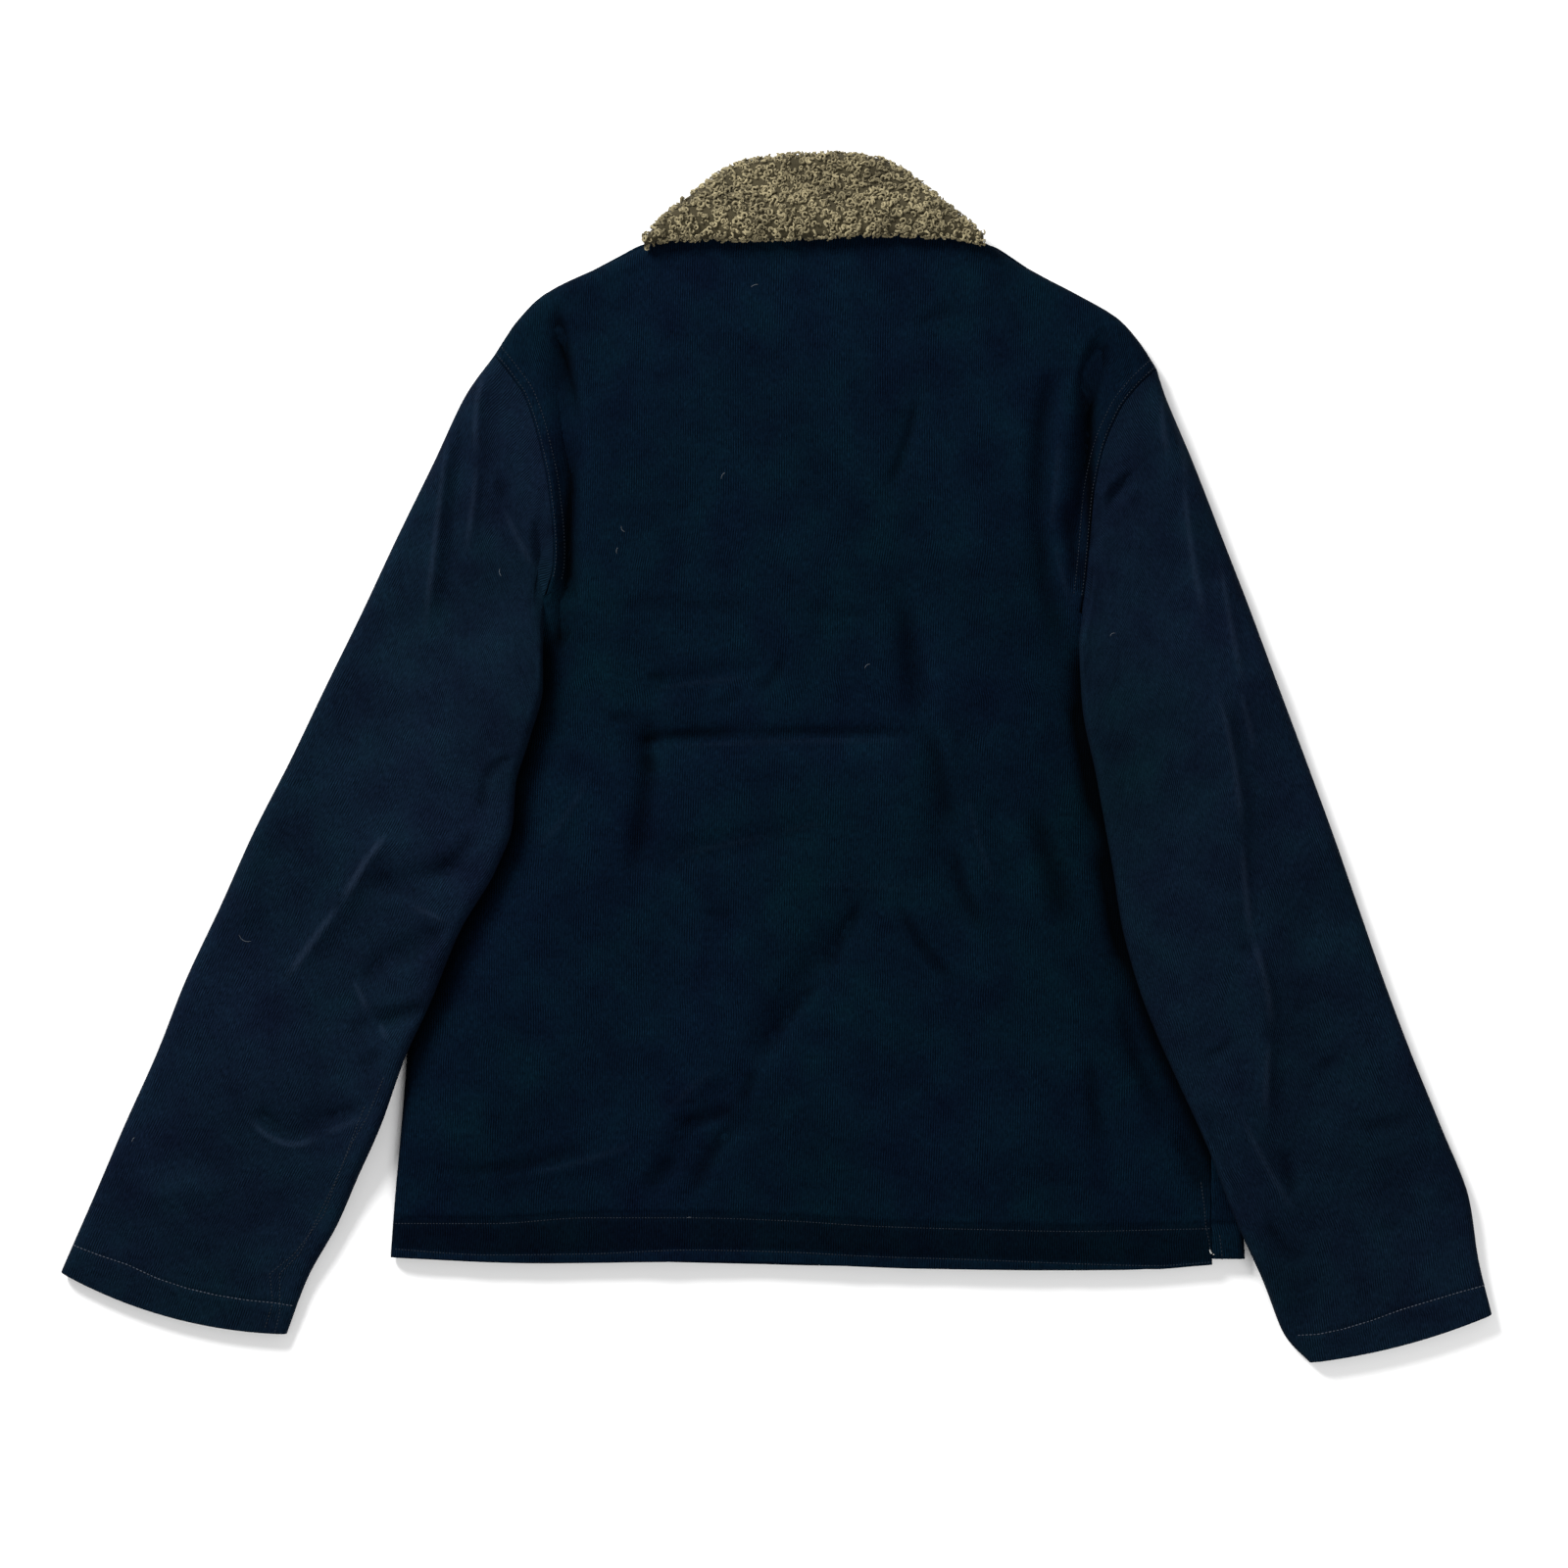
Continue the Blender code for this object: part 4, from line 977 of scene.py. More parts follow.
def seam_relief(gap, where, phase):
    """Felled edge beside an armhole: ditch at the seam, raised puckered band, a groove under each stitch row."""
    band = smooth((gap - 0.8) / 1.0) * smooth((9.0 - gap) / 1.8)
    ripple = np.sin(2 * math.pi * where / 5.4 + 1.8 * np.sin(where / 12.0 + phase))
    grooves = bell((gap - ARM_ROWS[0]) / 0.8) + bell((gap - ARM_ROWS[1]) / 0.9)
    return band * (0.9 + 0.28 * ripple) - 0.35 * grooves - 0.8 * bell(gap / 0.9)


def back_height(x, y, quiet):
    place = np.stack([x, y], axis=-1)
    (gap_l, at_l), (gap_r, at_r) = distance(place, ARM_LINES[-1]), distance(place, ARM_LINES[1])
    shore = np.minimum(gap_l, gap_r)
    upper = hem_rows(x)[0]
    over_hem = smooth((y - upper - 2.0) / 10.0)
    z = body_top(x, y)
    z += folds(BACK_FOLDS, x, y) * smooth(shore / 7.0) * smooth((330.0 - y) / 30.0) * smooth((y + 306.0) / 16.0)
    fine = creases(BACK_CREASES, x, y) * smooth((shore - 5.0) / 6.0) * smooth((335.0 - y) / 20.0) * over_hem
    fine += (0.45 * cloud(x, y, 95.0, 3) + 0.22 * cloud(x, y, 36.0, 4)) * smooth(shore / 12.0)
    z += fine * quiet
    z += (seam_relief(gap_l, at_l, 0.0) + seam_relief(gap_r, at_r, 2.0)) * smooth((y - 60.0) / 20.0)
    z += hem_relief(x, y)
    gap = distance(place, SHOULDERS)[0]
    return z * (1.0 - 0.5 * neck_part(x) * (1.0 - roll(gap / SHOULDER_ROLL)))


def back_grid():
    arm = np.concatenate([np.linspace(0, 0.06, 12)[:-1], np.linspace(0.06, 1.0, 98)])
    foot = np.linspace(0, 1, 45)[1:]
    sides = np.concatenate([np.linspace(38, -296, 160)[1:], np.linspace(-296, -334, 34)[1:]])
    rows = body_rows(arm, foot, sides)
    rows = rows[:len(rows) - (len(rows) - 1) % SPARSE]
    xs, ys, heights, tops, quiets = [], [], [], [], []
    for left_x, left_y, right_x, right_y, fade, hem, turn, kind, at in rows:
        left, right = np.array([left_x, left_y]), np.array([right_x, right_y])
        if kind == 0:
            slack = SEAM_GAP / 2 + 0.9 * float(smooth((at - 0.90) / 0.06))
            left, right = left + armhole(-1, at)[1] * slack, right + armhole(1, at)[1] * slack
        elif kind == 1:
            left[0] -= FOOT_OVERLAP * (1 - turn)
            right[0] += FOOT_OVERLAP * (1 - turn)
        else:
            right[0] -= SEAM_GAP / 2
        width = right[0] - left[0]
        radius = float(body_top(left[0] + 7.0, left[1])) / 2.0
        lap, wrap = UNDER_LAP * turn, math.pi * radius * turn
        beyond = lap + wrap + np.array([3.0, 6.0, 9.0])
        bent = np.concatenate([np.linspace(0, lap, 4)[:-1], lap + wrap * np.linspace(0, 1, 11), beyond])
        a = EDGE_STEPS * (1 - turn) + bent * turn
        ends = 1.0 - math.sin(min(turn * math.pi, math.pi / 2))
        angle = turn * math.pi * (1.0 - np.clip((a - lap) / max(wrap, 1e-6), 0, 1))
        under = radius * (1 - math.sin(turn * math.pi)) + (lap - a) * abs(math.cos(turn * math.pi))
        d = np.where(a < lap, under, radius * (1 - np.sin(angle))) - radius * ends
        top = a >= lap + wrap - 1e-6
        d = np.where(top, radius * (1 - ends) + (a - lap - wrap), d)
        flat = np.where(a < lap, radius * (1 + math.cos(turn * math.pi)), radius * (1 + np.cos(angle)))
        far = width - EDGE_STEPS[::-1]
        d = np.concatenate([d, np.linspace(d[-1], far[0], ACROSS + 2)[1:-1], far])
        share = d / width
        xs.append(left[0] + width * share)
        y = left[1] + (right[1] - left[1]) * share + fade * along(column(TOP_LINE, 0), column(TOP_LINE, 1), share)
        ys.append(y - hem * along(column(HEM_LINE, 0), column(HEM_LINE, 1), share))
        heights.append(np.concatenate([flat, np.zeros(ACROSS + 17)]))
        tops.append(np.concatenate([top, np.ones(ACROSS + 17, bool)]))
        quiets.append(1.0 - turn * (1.0 - smooth((d - radius) / 12.0)))
    x, y, top = np.array(xs), np.array(ys), np.array(tops)
    z = np.where(top, back_height(x, y, np.array(quiets)), np.array(heights))
    return np.stack([x, y, z], axis=-1)


back_points = back_grid()
assert (back_points.shape[0] - 1) % SPARSE == 0 and (back_points.shape[1] - 1) % SPARSE == 0, back_points.shape
# Paler along the ridges; painted shade in the troughs, on the hem casing and beside the armholes and sleeves.
back_pale_and_painted_shade = ridge_pale_and_painted_shade(BACK_CREASES, back_points[..., 0], back_points[..., 1])
back_pale_and_painted_shade = np.where(back_pale_and_painted_shade > 0, 0.25, 1.0) * back_pale_and_painted_shade
hem_upper, hem_lower = hem_rows(back_points[..., 0])
hem_painted_shade = smooth((hem_upper + 3.5 - back_points[..., 1]) / 1.5) * smooth((back_points[..., 1] - hem_lower) / 3.0)
back_pale_and_painted_shade = back_pale_and_painted_shade - 0.42 * hem_painted_shade + contact_shade(back_points[..., 0], back_points[..., 1])
back_cloth = shell("back_cloth", back_points, CLOTH_WALL, grid_uv(back_points, 118), body_cloth, back_pale_and_painted_shade)


# %% [markdown]
# ## The fronts and the strip over their opening
#
# The jacket rests on its fronts, so they're flat on the floor. Only the hem shows under the back, and at the right
# side the front comes round the edge and up to the side seam. These pieces are coarser where nobody sees them.

# %% Fronts
def front_lift(x, y):
    strip = smooth((x - PLACKET_X[0] + 9.0) / 6.0) * smooth((PLACKET_X[1] + 9.0 - x) / 6.0)
    strip = strip * smooth((PLACKET_Y[1] + 30.0 - y) / 12.0)
    neck = smooth((y - 200.0) / 30.0) * smooth((x + 152.0) / 34.0) * smooth((208.0 - x) / 34.0)
    return np.maximum(2.9 * strip, COLLAR_LIFT * neck)


def front_grid(side):
    arm = np.concatenate([np.linspace(0, 0.06, 8)[:-1], np.linspace(0.06, 1.0, 50)])
    foot = np.linspace(0, 1, 22)[1:]
    sides = np.concatenate([np.linspace(38, -296, 100)[1:], np.linspace(-296, -334, 32)[1:]])
    rows = body_rows(arm, foot, sides)
    rows = rows[:len(rows) - (len(rows) - 1) % SPARSE]
    lines = []
    for left_x, left_y, right_x, right_y, fade, hem, turn, kind, at in rows:
        width = right_x - left_x

        def page(x, left_x=left_x, left_y=left_y, right_y=right_y, width=width, fade=fade, hem=hem):
            share = (x - left_x) / width
            y = left_y + (right_y - left_y) * share + fade * along(column(TOP_LINE, 0), column(TOP_LINE, 2), share)
            return y - hem * along(column(HEM_LINE, 0), column(HEM_LINE, 2), share)

        centre = CENTRE_FRONT + side * SEAM_GAP / 2
        if side < 0 and kind == 0:
            edge = left_x + armhole(-1, at)[1][0] * SEAM_GAP / 2 + 0.6 * float(smooth((at - 0.9) / 0.06))
        elif side < 0:
            under = float(body_top(left_x + 7.0, left_y)) / 2.0 + UNDER_LAP + SEAM_GAP
            edge = left_x + SEAM_GAP * 1.5 + under * (float(smooth((at - 0.3) / 0.7)) if kind == 1 else 1.0)
        elif kind == 0:
            edge = right_x + armhole(1, at)[1][0] * SEAM_GAP / 2
        elif kind == 1:
            edge = right_x - SEAM_GAP * 1.5
        else:
            edge = float(along(column(SIDE, 0), column(SIDE, 3), right_y))
        radius = float(body_top(right_x + 4.0, right_y)) / 2.0
        stop = edge if side < 0 else edge - radius
        x = np.linspace(centre, stop, 61 if side < 0 else 57)
        y = page(x)
        gap = distance(np.stack([x, y], -1), SHOULDERS)[0]
        fall = neck_part(x) * (1.0 - roll(gap / SHOULDER_ROLL))
        z = front_lift(x, y) * (1.0 - fall) + (body_top(x, y) / 2.0 - 3.6 * SEAM_GAP) * fall
        line = np.stack([x, y, z], -1)
        if side > 0:
            seam = right_x + SEAM_GAP / 2
            come = 0.0
            if kind == 1:
                come = 0.4 * float(smooth((at - 0.8) / 0.2))
            elif kind == 2:
                come = 0.4 + 0.6 * float(smooth((38.0 - at) / 38.0))
            flat_x = stop + radius * np.arange(1, 21) / 20.0
            flat_y = page(flat_x)
            near = distance(np.stack([flat_x, flat_y], -1), SHOULDERS)[0]
            drop = neck_part(flat_x) * (1.0 - roll(near / SHOULDER_ROLL))
            flat_z = front_lift(flat_x, flat_y) * (1 - drop) + (body_top(flat_x, flat_y) / 2.0 - 3.6 * SEAM_GAP) * drop
            angle = math.pi * (1.0 - np.arange(1, 15) / 14.0)
            bent_x = np.concatenate([stop + radius * np.sin(angle), stop + (seam - stop) * np.arange(1, 7) / 6.0])
            bent_y = page(bent_x)
            bent_z = np.concatenate([radius * (1 + np.cos(angle)), body_top(bent_x[14:], bent_y[14:])])
            relief = hem_relief(bent_x, bent_y) * np.concatenate([smooth(np.arange(1, 15) / 14.0 - 0.3), np.ones(6)])
            bent = np.stack([bent_x, bent_y, bent_z + relief], -1)
            flat = np.stack([flat_x, flat_y, flat_z], -1)
            line = np.concatenate([line, flat + (bent - flat) * come])
        lines.append(line)
    return np.array(lines)


def front_shell(name, side):
    grid = front_grid(side)
    cols = grid.shape[1] - (grid.shape[1] - 1) % SPARSE
    grid = np.concatenate([grid[:, :cols - 1], grid[:, -1:]], axis=1)
    return shell(name, grid, CLOTH_WALL, grid_uv(grid, 0), body_cloth, sign=-side)


front_left_cloth = front_shell("front_left_cloth", -1)
front_right_cloth = front_shell("front_right_cloth", 1)

# %% [markdown]
# ### The strip over the opening
#
# A covered strip runs down the centre front. It could be cut from the front panels. It is a flat piece of its own
# here, because a maker sews it on separately and nobody sees its surface.

# %% Placket
strip_x = np.linspace(PLACKET_X[0], PLACKET_X[1], 25)
strip_y = np.linspace(PLACKET_Y[1], PLACKET_Y[0] - 3.0, 185)
strip = np.stack([*np.meshgrid(strip_x, strip_y), np.full((185, 25), 0.1)], axis=-1)
round_off = np.minimum(strip_x - PLACKET_X[0], PLACKET_X[1] - strip_x)
strip[..., 2] += 0.7 * (1.0 - roll(round_off / 2.0))
placket_cloth = shell("placket_cloth", strip, 1.5, grid_uv(strip, 12), body_cloth, sign=-1)


# %% [markdown]
# ## The sleeves
#
# Each sleeve is an open tube laid flat: a fine top face with the creases, a plain underside on the floor or on the
# body, and rolled edges. The rings follow the same table as the solids. The cuff is turned once and stitched.

# %% Sleeve rings
def hidden_edge(side):
    foot = FOOT_LEFT[2:] if side < 0 else FOOT_RIGHT[2:] + ((298, 34),)
    edge = [(row[1 if side < 0 else 3], row[0]) for row in SIDE if row[0] < 30]
    return np.array(list(foot) + edge, float)


EDGES = {-1: hidden_edge(-1), 1: hidden_edge(1)}
TOP_SHARES = (1.0 - np.cos(np.linspace(0, math.pi, 85))) / 2.0 * 0.35 + np.linspace(0, 1, 85) * 0.65
LOW_SHARES = ((1.0 - np.cos(np.linspace(0, math.pi, 29))) / 2.0 * 0.35 + np.linspace(0, 1, 29) * 0.65)[1:-1][::-1]


def over_body(side, x, y):
    """Signed distance out of the body's outline under a sleeve."""
    edge = EDGES[side]
    gap = distance(np.stack([x, y], axis=-1), edge)[0]
    bound = np.interp(-y, -edge[:, 1], edge[:, 0])
    inside = (y < edge[0, 1]) & ((x > bound) if side < 0 else (x < bound))
    return np.where(inside, -gap, gap)


def half_ring(side, step, share):
    """Places, middle height, rise and calm of one section at shares from the outer to the inner edge."""
    table = SLEEVE_LEFT if side < 0 else SLEEVE_RIGHT
    keys = np.arange(len(table))
    ox, oy, ix, iy, bow, thick = (float(along(keys, column(table, c), step)) for c in range(6))
    start, end = np.array([ox, oy]), np.array([ix, iy])
    length = np.linalg.norm(end - start)
    way = (end - start) / length
    up = np.array([-way[1], way[0]]) * -side
    depth = along(column(ARMHOLE, 0), column(ARMHOLE, 1 if side < 0 else 2), share) / 17.5
    mix = float(smooth(step / 4.0))
    depth = depth * (1.0 - float(smooth(step / 0.2)) * smooth((share - 0.70) / 0.2))
    bend = bow * (depth * (1.0 - mix) + 4.0 * share * (1.0 - share) * mix)
    xy = start + (end - start) * share[:, None] + up * bend[:, None]
    if step < 0.01:
        xy = xy - up * SEAM_GAP / 2
    x, y = xy[:, 0], xy[:, 1]
    out = over_body(side, x, y)
    low = (body_top(x, y) + LAYER_GAP) * (1.0 - smooth((out - 6.0) / 22.0)) * smooth(step / 0.5)
    high = thick + 14.0 * (1.0 - smooth((out + 10.0) / 70.0))
    near = float(smooth(step / 1.2))
    high = body_top(x, y) * (1.0 - near) + high * near
    half = np.maximum((high - low) / 2.0, 4.2)
    curve = roll(share * length / min(SHOULDER_ROLL, thick * 0.55)) * roll((1.0 - share) * length / (4.0 + 4.0 * near))
    calm = smooth((step - 0.1) / 1.0) * smooth((13.2 - step) / 0.8) * curve
    return x, y, low + half, half * curve, calm


def photo_line(points):
    px, py = photo([p[0] for p in points], [p[1] for p in points])
    return np.stack([px, py], axis=-1)


def sleeve_grid(side):
    table, broad = (LEFT_CREASES, LEFT_FOLDS) if side < 0 else (RIGHT_CREASES, RIGHT_FOLDS)
    cuff = photo_line(CUFF_LEFT if side < 0 else CUFF_RIGHT)
    steps = np.concatenate([np.linspace(0, 1, 41)[:-1], np.linspace(1, 13.2, 253)[:-1], np.linspace(13.2, 14, 33)])
    rings, pale_and_painted_shade = [], []
    for step in steps:
        x, y, middle, rise, calm = half_ring(side, step, TOP_SHARES)
        place = np.stack([x, y], -1)
        crease = folds(broad, x, y) * calm
        fine = creases(table, x, y)
        fine += 0.5 * cloud(x, y, 80.0, 21 + side) + 0.24 * cloud(x, y, 34.0, 31 + side)
        crease += fine * calm
        gap = distance(place, cuff)[0]
        groove = -0.5 * bell(gap / 1.1) + 0.3 * bell((gap - 4.0) / 3.0)
        crease += groove * smooth((step - 12.5) / 0.6) * smooth(rise / 3.0)
        crease = np.maximum(crease, -1.3 * rise)
        top = np.stack([x, y, middle + rise + crease], -1)
        lx, ly, low_middle, low_rise, _ = half_ring(side, step, LOW_SHARES)
        rings.append(np.concatenate([top, np.stack([lx, ly, low_middle - low_rise], -1)]))
        # Paler along the ridges and painted shade in the troughs, both weaker on the sleeves.
        mark = ridge_pale_and_painted_shade(table, x, y)
        pale_and_painted_shade.append(np.concatenate([np.where(mark > 0, 0.7, 0.55) * mark, np.zeros(len(LOW_SHARES))]))
    rings, pale_and_painted_shade = np.array(rings), np.array(pale_and_painted_shade)
    inward = armhole(side, 0.5)[1]
    rise = np.concatenate([half_ring(side, 0.0, TOP_SHARES)[3], -half_ring(side, 0.0, LOW_SHARES)[3]])
    sink = np.clip(rise / 4.0, -1.0, 1.0)
    allowance = [rings[0] + np.column_stack([np.tile(inward * far, (len(sink), 1)), -deep * sink])
        for far, deep in ((3.0, 2.2), (2.25, 2.1), (1.5, 1.8), (0.75, 0.9))]
    rings = np.concatenate([np.array(allowance), rings])
    # The rings of the seam allowance get painted shade.
    pale_and_painted_shade = np.concatenate([np.full((4, pale_and_painted_shade.shape[1]), -0.7), pale_and_painted_shade])
    return rings, pale_and_painted_shade, np.concatenate([np.zeros(4), steps])


def sleeve_shell(name, side):
    grid, pale_and_painted_shade, steps = sleeve_grid(side)
    keep = len(grid) - (len(grid) - 1) % SPARSE
    grid, pale_and_painted_shade = grid[-keep:], pale_and_painted_shade[-keep:]
    cut = grid.shape[1] % SPARSE
    assert cut == 0, grid.shape
    wall = 1.5 + 1.3 * smooth((steps[-keep:] - 13.45) / 0.15)
    return shell(name, grid, wall[:, None], grid_uv(grid, 42, False), sleeve_cloth_painted_sheen, pale_and_painted_shade, closed=True, sign=-side)


sleeve_left_cloth = sleeve_shell("sleeve_left_cloth", -1)
sleeve_right_cloth = sleeve_shell("sleeve_right_cloth", 1)


# %% [markdown]
# ## Growing with Geometry Nodes
#
# Stitches and pile locks are hundreds of small equal things along a line or over a surface. A node tree places them
# by rule, with named inputs for size and pitch and a fixed seed, so they can be changed in one place. The result is
# kept as a plain mesh, because instances are lost when the model is exported.

# %% Tree helpers
def growing_tree(name, inputs):
    tree = bpy.data.node_groups.new(name, "GeometryNodeTree")
    for title, kind, value in [("Geometry", "NodeSocketGeometry", None), *inputs]:
        socket = tree.interface.new_socket(title, in_out="INPUT", socket_type=kind)
        if value is not None:
            socket.default_value = value
    tree.interface.new_socket("Geometry", in_out="OUTPUT", socket_type="NodeSocketGeometry")
    return tree, tree.nodes.new("NodeGroupInput").outputs, tree.nodes.new("NodeGroupOutput").inputs


def enabled(sockets, name):
    return next(s for s in sockets if s.enabled and s.name == name)


def random_value(tree, low, high, seed, kind="FLOAT"):
    made = node(tree, "FunctionNodeRandomValue", data_type=kind)
    enabled(made.inputs, "Min").default_value = low
    enabled(made.inputs, "Max").default_value = high
    enabled(made.inputs, "Seed").default_value = seed
    return enabled(made.outputs, "Value")


def close_tree(tree, geometry, material, end):
    """Realize the instances, shade them smooth and give them their material."""
    real = node(tree, "GeometryNodeRealizeInstances", {"Geometry": geometry}).outputs[0]
    soft = node(tree, "GeometryNodeSetShadeSmooth", {"Geometry": real}).outputs[0]
    done = node(tree, "GeometryNodeSetMaterial", {"Geometry": soft, "Material": material}).outputs[0]
    tree.links.new(done, end["Geometry"])


def grow(name, tree, source, values):
    """Run a tree on a guide mesh and keep the result as a plain mesh."""
    modifier = source.modifiers.new("grow", "NODES")
    modifier.node_group = tree
    for item in tree.interface.items_tree:
        if item.in_out == "INPUT" and item.name in values:
            modifier[item.identifier] = values[item.name]
    graph = bpy.context.evaluated_depsgraph_get()
    mesh = bpy.data.meshes.new_from_object(source.evaluated_get(graph), depsgraph=graph)
    mesh.name = name
    made = bpy.data.objects.new(name, mesh)
    bpy.context.scene.collection.objects.link(made)
    bpy.data.objects.remove(source)
    mesh.calc_loop_triangles()
    print(name, "triangles", len(mesh.loop_triangles))
    return made


# %% [markdown]
# ### One stitch after another
#
# A stitch is a short length of thread. A bevelled dashed curve could stand for a row. Small spheres, stretched and
# set along the line, keep each stitch apart and its thread round.

# %% Thread tree
thread_tree, thread_in, thread_end = growing_tree(
    "stitch row",
    [
        ("Pitch", "NodeSocketFloat", 0.0022), ("Stitch length", "NodeSocketFloat", 0.0018),
        ("Thread width", "NodeSocketFloat", 0.0006), ("Material", "NodeSocketMaterial", None),
    ],
)
run = node(thread_tree, "GeometryNodeMeshToCurve", {"Mesh": thread_in["Geometry"]}).outputs[0]
paced = node(thread_tree, "GeometryNodeResampleCurve", mode="LENGTH")
thread_tree.links.new(run, paced.inputs["Curve"])
thread_tree.links.new(thread_in["Pitch"], enabled(paced.inputs, "Length"))
grain = node(thread_tree, "GeometryNodeMeshUVSphere", {"Segments": 6, "Rings": 4, "Radius": 0.5}).outputs[0]
size = node(
    thread_tree, "ShaderNodeCombineXYZ",
    {0: thread_in["Stitch length"], 1: thread_in["Thread width"], 2: thread_in["Thread width"]},
).outputs[0]
stitch = node(thread_tree, "GeometryNodeTransform", {"Geometry": grain, "Scale": size}).outputs[0]
tangent = node(thread_tree, "GeometryNodeInputTangent").outputs[0]
facing = node(thread_tree, "FunctionNodeAlignRotationToVector", {"Vector": tangent}, axis="X").outputs[0]
sewn = node(
    thread_tree, "GeometryNodeInstanceOnPoints",
    {
        "Points": paced.outputs[0], "Instance": stitch, "Rotation": facing,
        "Scale": random_value(thread_tree, 0.8, 1.1, 3),
    },
).outputs[0]
close_tree(thread_tree, sewn, thread_in["Material"], thread_end)

# %% [markdown]
# ### One lock after another
#
# A lock of pile is a short curl. Scattered points on the ground carry a tapered spiral each, turned and sized at
# random from fixed seeds, because a repeated patch would show its edges.

# %% Pile tree
pile_tree, pile_in, pile_end = growing_tree(
    "curly pile",
    [
        ("Locks per square metre", "NodeSocketFloat", 105000.0), ("Curl radius", "NodeSocketFloat", 0.0017),
        ("Strand radius", "NodeSocketFloat", 0.00095), ("Seed", "NodeSocketInt", 7),
        ("Material", "NodeSocketMaterial", None),
    ],
)
spiral = node(
    pile_tree, "GeometryNodeCurveSpiral",
    {
        "Resolution": 7, "Rotations": 0.85, "Start Radius": pile_in["Curl radius"],
        "End Radius": maths(pile_tree, "MULTIPLY", pile_in["Curl radius"], 0.6),
        "Height": maths(pile_tree, "MULTIPLY", pile_in["Curl radius"], 1.3),
    },
).outputs[0]
place_on_lock = node(pile_tree, "GeometryNodeSplineParameter").outputs["Factor"]
taper = maths(pile_tree, "MULTIPLY_ADD", place_on_lock, -0.55, 1.0)
profile = node(
    pile_tree, "GeometryNodeCurvePrimitiveCircle", {"Resolution": 5, "Radius": pile_in["Strand radius"]},
).outputs[0]
lock = node(
    pile_tree, "GeometryNodeCurveToMesh",
    {"Curve": spiral, "Profile Curve": profile, "Scale": taper, "Fill Caps": True},
).outputs[0]
spots = node(
    pile_tree, "GeometryNodeDistributePointsOnFaces",
    {"Mesh": pile_in["Geometry"], "Density": pile_in["Locks per square metre"], "Seed": pile_in["Seed"]},
).outputs
tilt = node(
    pile_tree, "FunctionNodeEulerToRotation",
    {0: random_value(pile_tree, (-1.1, -1.1, 0.0), (1.1, 1.1, 6.28), 5, "FLOAT_VECTOR")},
).outputs[0]
turned = node(
    pile_tree, "FunctionNodeRotateRotation", {"Rotation": spots["Rotation"], "Rotate By": tilt}, rotation_space="LOCAL",
).outputs[0]
locks = node(
    pile_tree, "GeometryNodeInstanceOnPoints",
    {
        "Points": spots["Points"], "Instance": lock, "Rotation": turned,
        "Scale": random_value(pile_tree, 0.7, 1.3, 9),
    },
).outputs[0]
toned = node(
    pile_tree, "GeometryNodeStoreNamedAttribute",
    {"Geometry": locks, "Name": "tone", "Value": random_value(pile_tree, 0.0, 1.0, 11)}, domain="INSTANCE",
).outputs[0]
close_tree(pile_tree, toned, pile_in["Material"], pile_end)


# %% [markdown]
# ## The pile collar
#
# The collar is a wide band. It stands up from the neck seam, folds over and falls on the back, pile side out. A hair
# system would be lost in the export, so every lock is a short tapered curl of mesh on a ground whose dark colour is
# painted shade.

# %% Collar band
def collar_section(x):
    """Outer and inner points of the band at one x, from the leaf's edge over the fold to the neck seam."""
    keys = column(COLLAR, 0)
    fold = float(along(keys, column(COLLAR, 1), x))
    leaf = float(along(keys, column(COLLAR, 2), x))
    seam = float(np.interp(x, SHOULDERS[:, 0], SHOULDERS[:, 1])) + 0.9 + 0.6 * float(neck_part(x))
    q = min(1.0, (fold - leaf) / 26.0)
    seam = min(seam, fold - 9.0 * q)
    centre = (leaf + fold) / 2.0
    band = (seam + fold - 10.0 * q) / 2.0
    outer = [
        (leaf + 1.5 * q, 21.0), (leaf, 24.0), (leaf + 2 * q, 27.4), (leaf + 6 * q, 29.0),
        (centre, 29.4), (fold - 8 * q, 28.6), (fold - 2.5 * q, 26.0), (fold, 21.0),
        (fold - 2.5 * q, 16.2), (fold - 6 * q, 14.4), (band, 14.2), (seam, 14.2),
    ]
    inner = [
        (leaf + 3 * q, 20.2), (leaf + 4 * q, 19.9), (leaf + 5.5 * q, 19.8), (leaf + 8 * q, 19.7),
        (centre, 19.7), (fold - 10 * q, 19.6), (fold - 9 * q, 19.2), (fold - 8.5 * q, 18.2),
        (fold - 9 * q, 17.2), (fold - 10 * q, 16.9), (band, 16.8), (seam, 16.8),
    ]
    return outer, inner


def rounded(points, count):
    """A section with its corners cut twice, at even steps."""
    points = np.array(points, float)
    for _ in range(2):
        cut = np.stack([0.75 * points[:-1] + 0.25 * points[1:], 0.25 * points[:-1] + 0.75 * points[1:]], 1)
        points = np.concatenate([points[:1], cut.reshape(-1, 2), points[-1:]])
    reach = np.concatenate([[0.0], np.cumsum(np.linalg.norm(np.diff(points, axis=0), axis=1))])
    at = np.linspace(0.0, reach[-1], count)
    return np.stack([np.interp(at, reach, points[:, c]) for c in (0, 1)], axis=-1)


SECTION_POINTS, PILE_POINTS = 49, 34


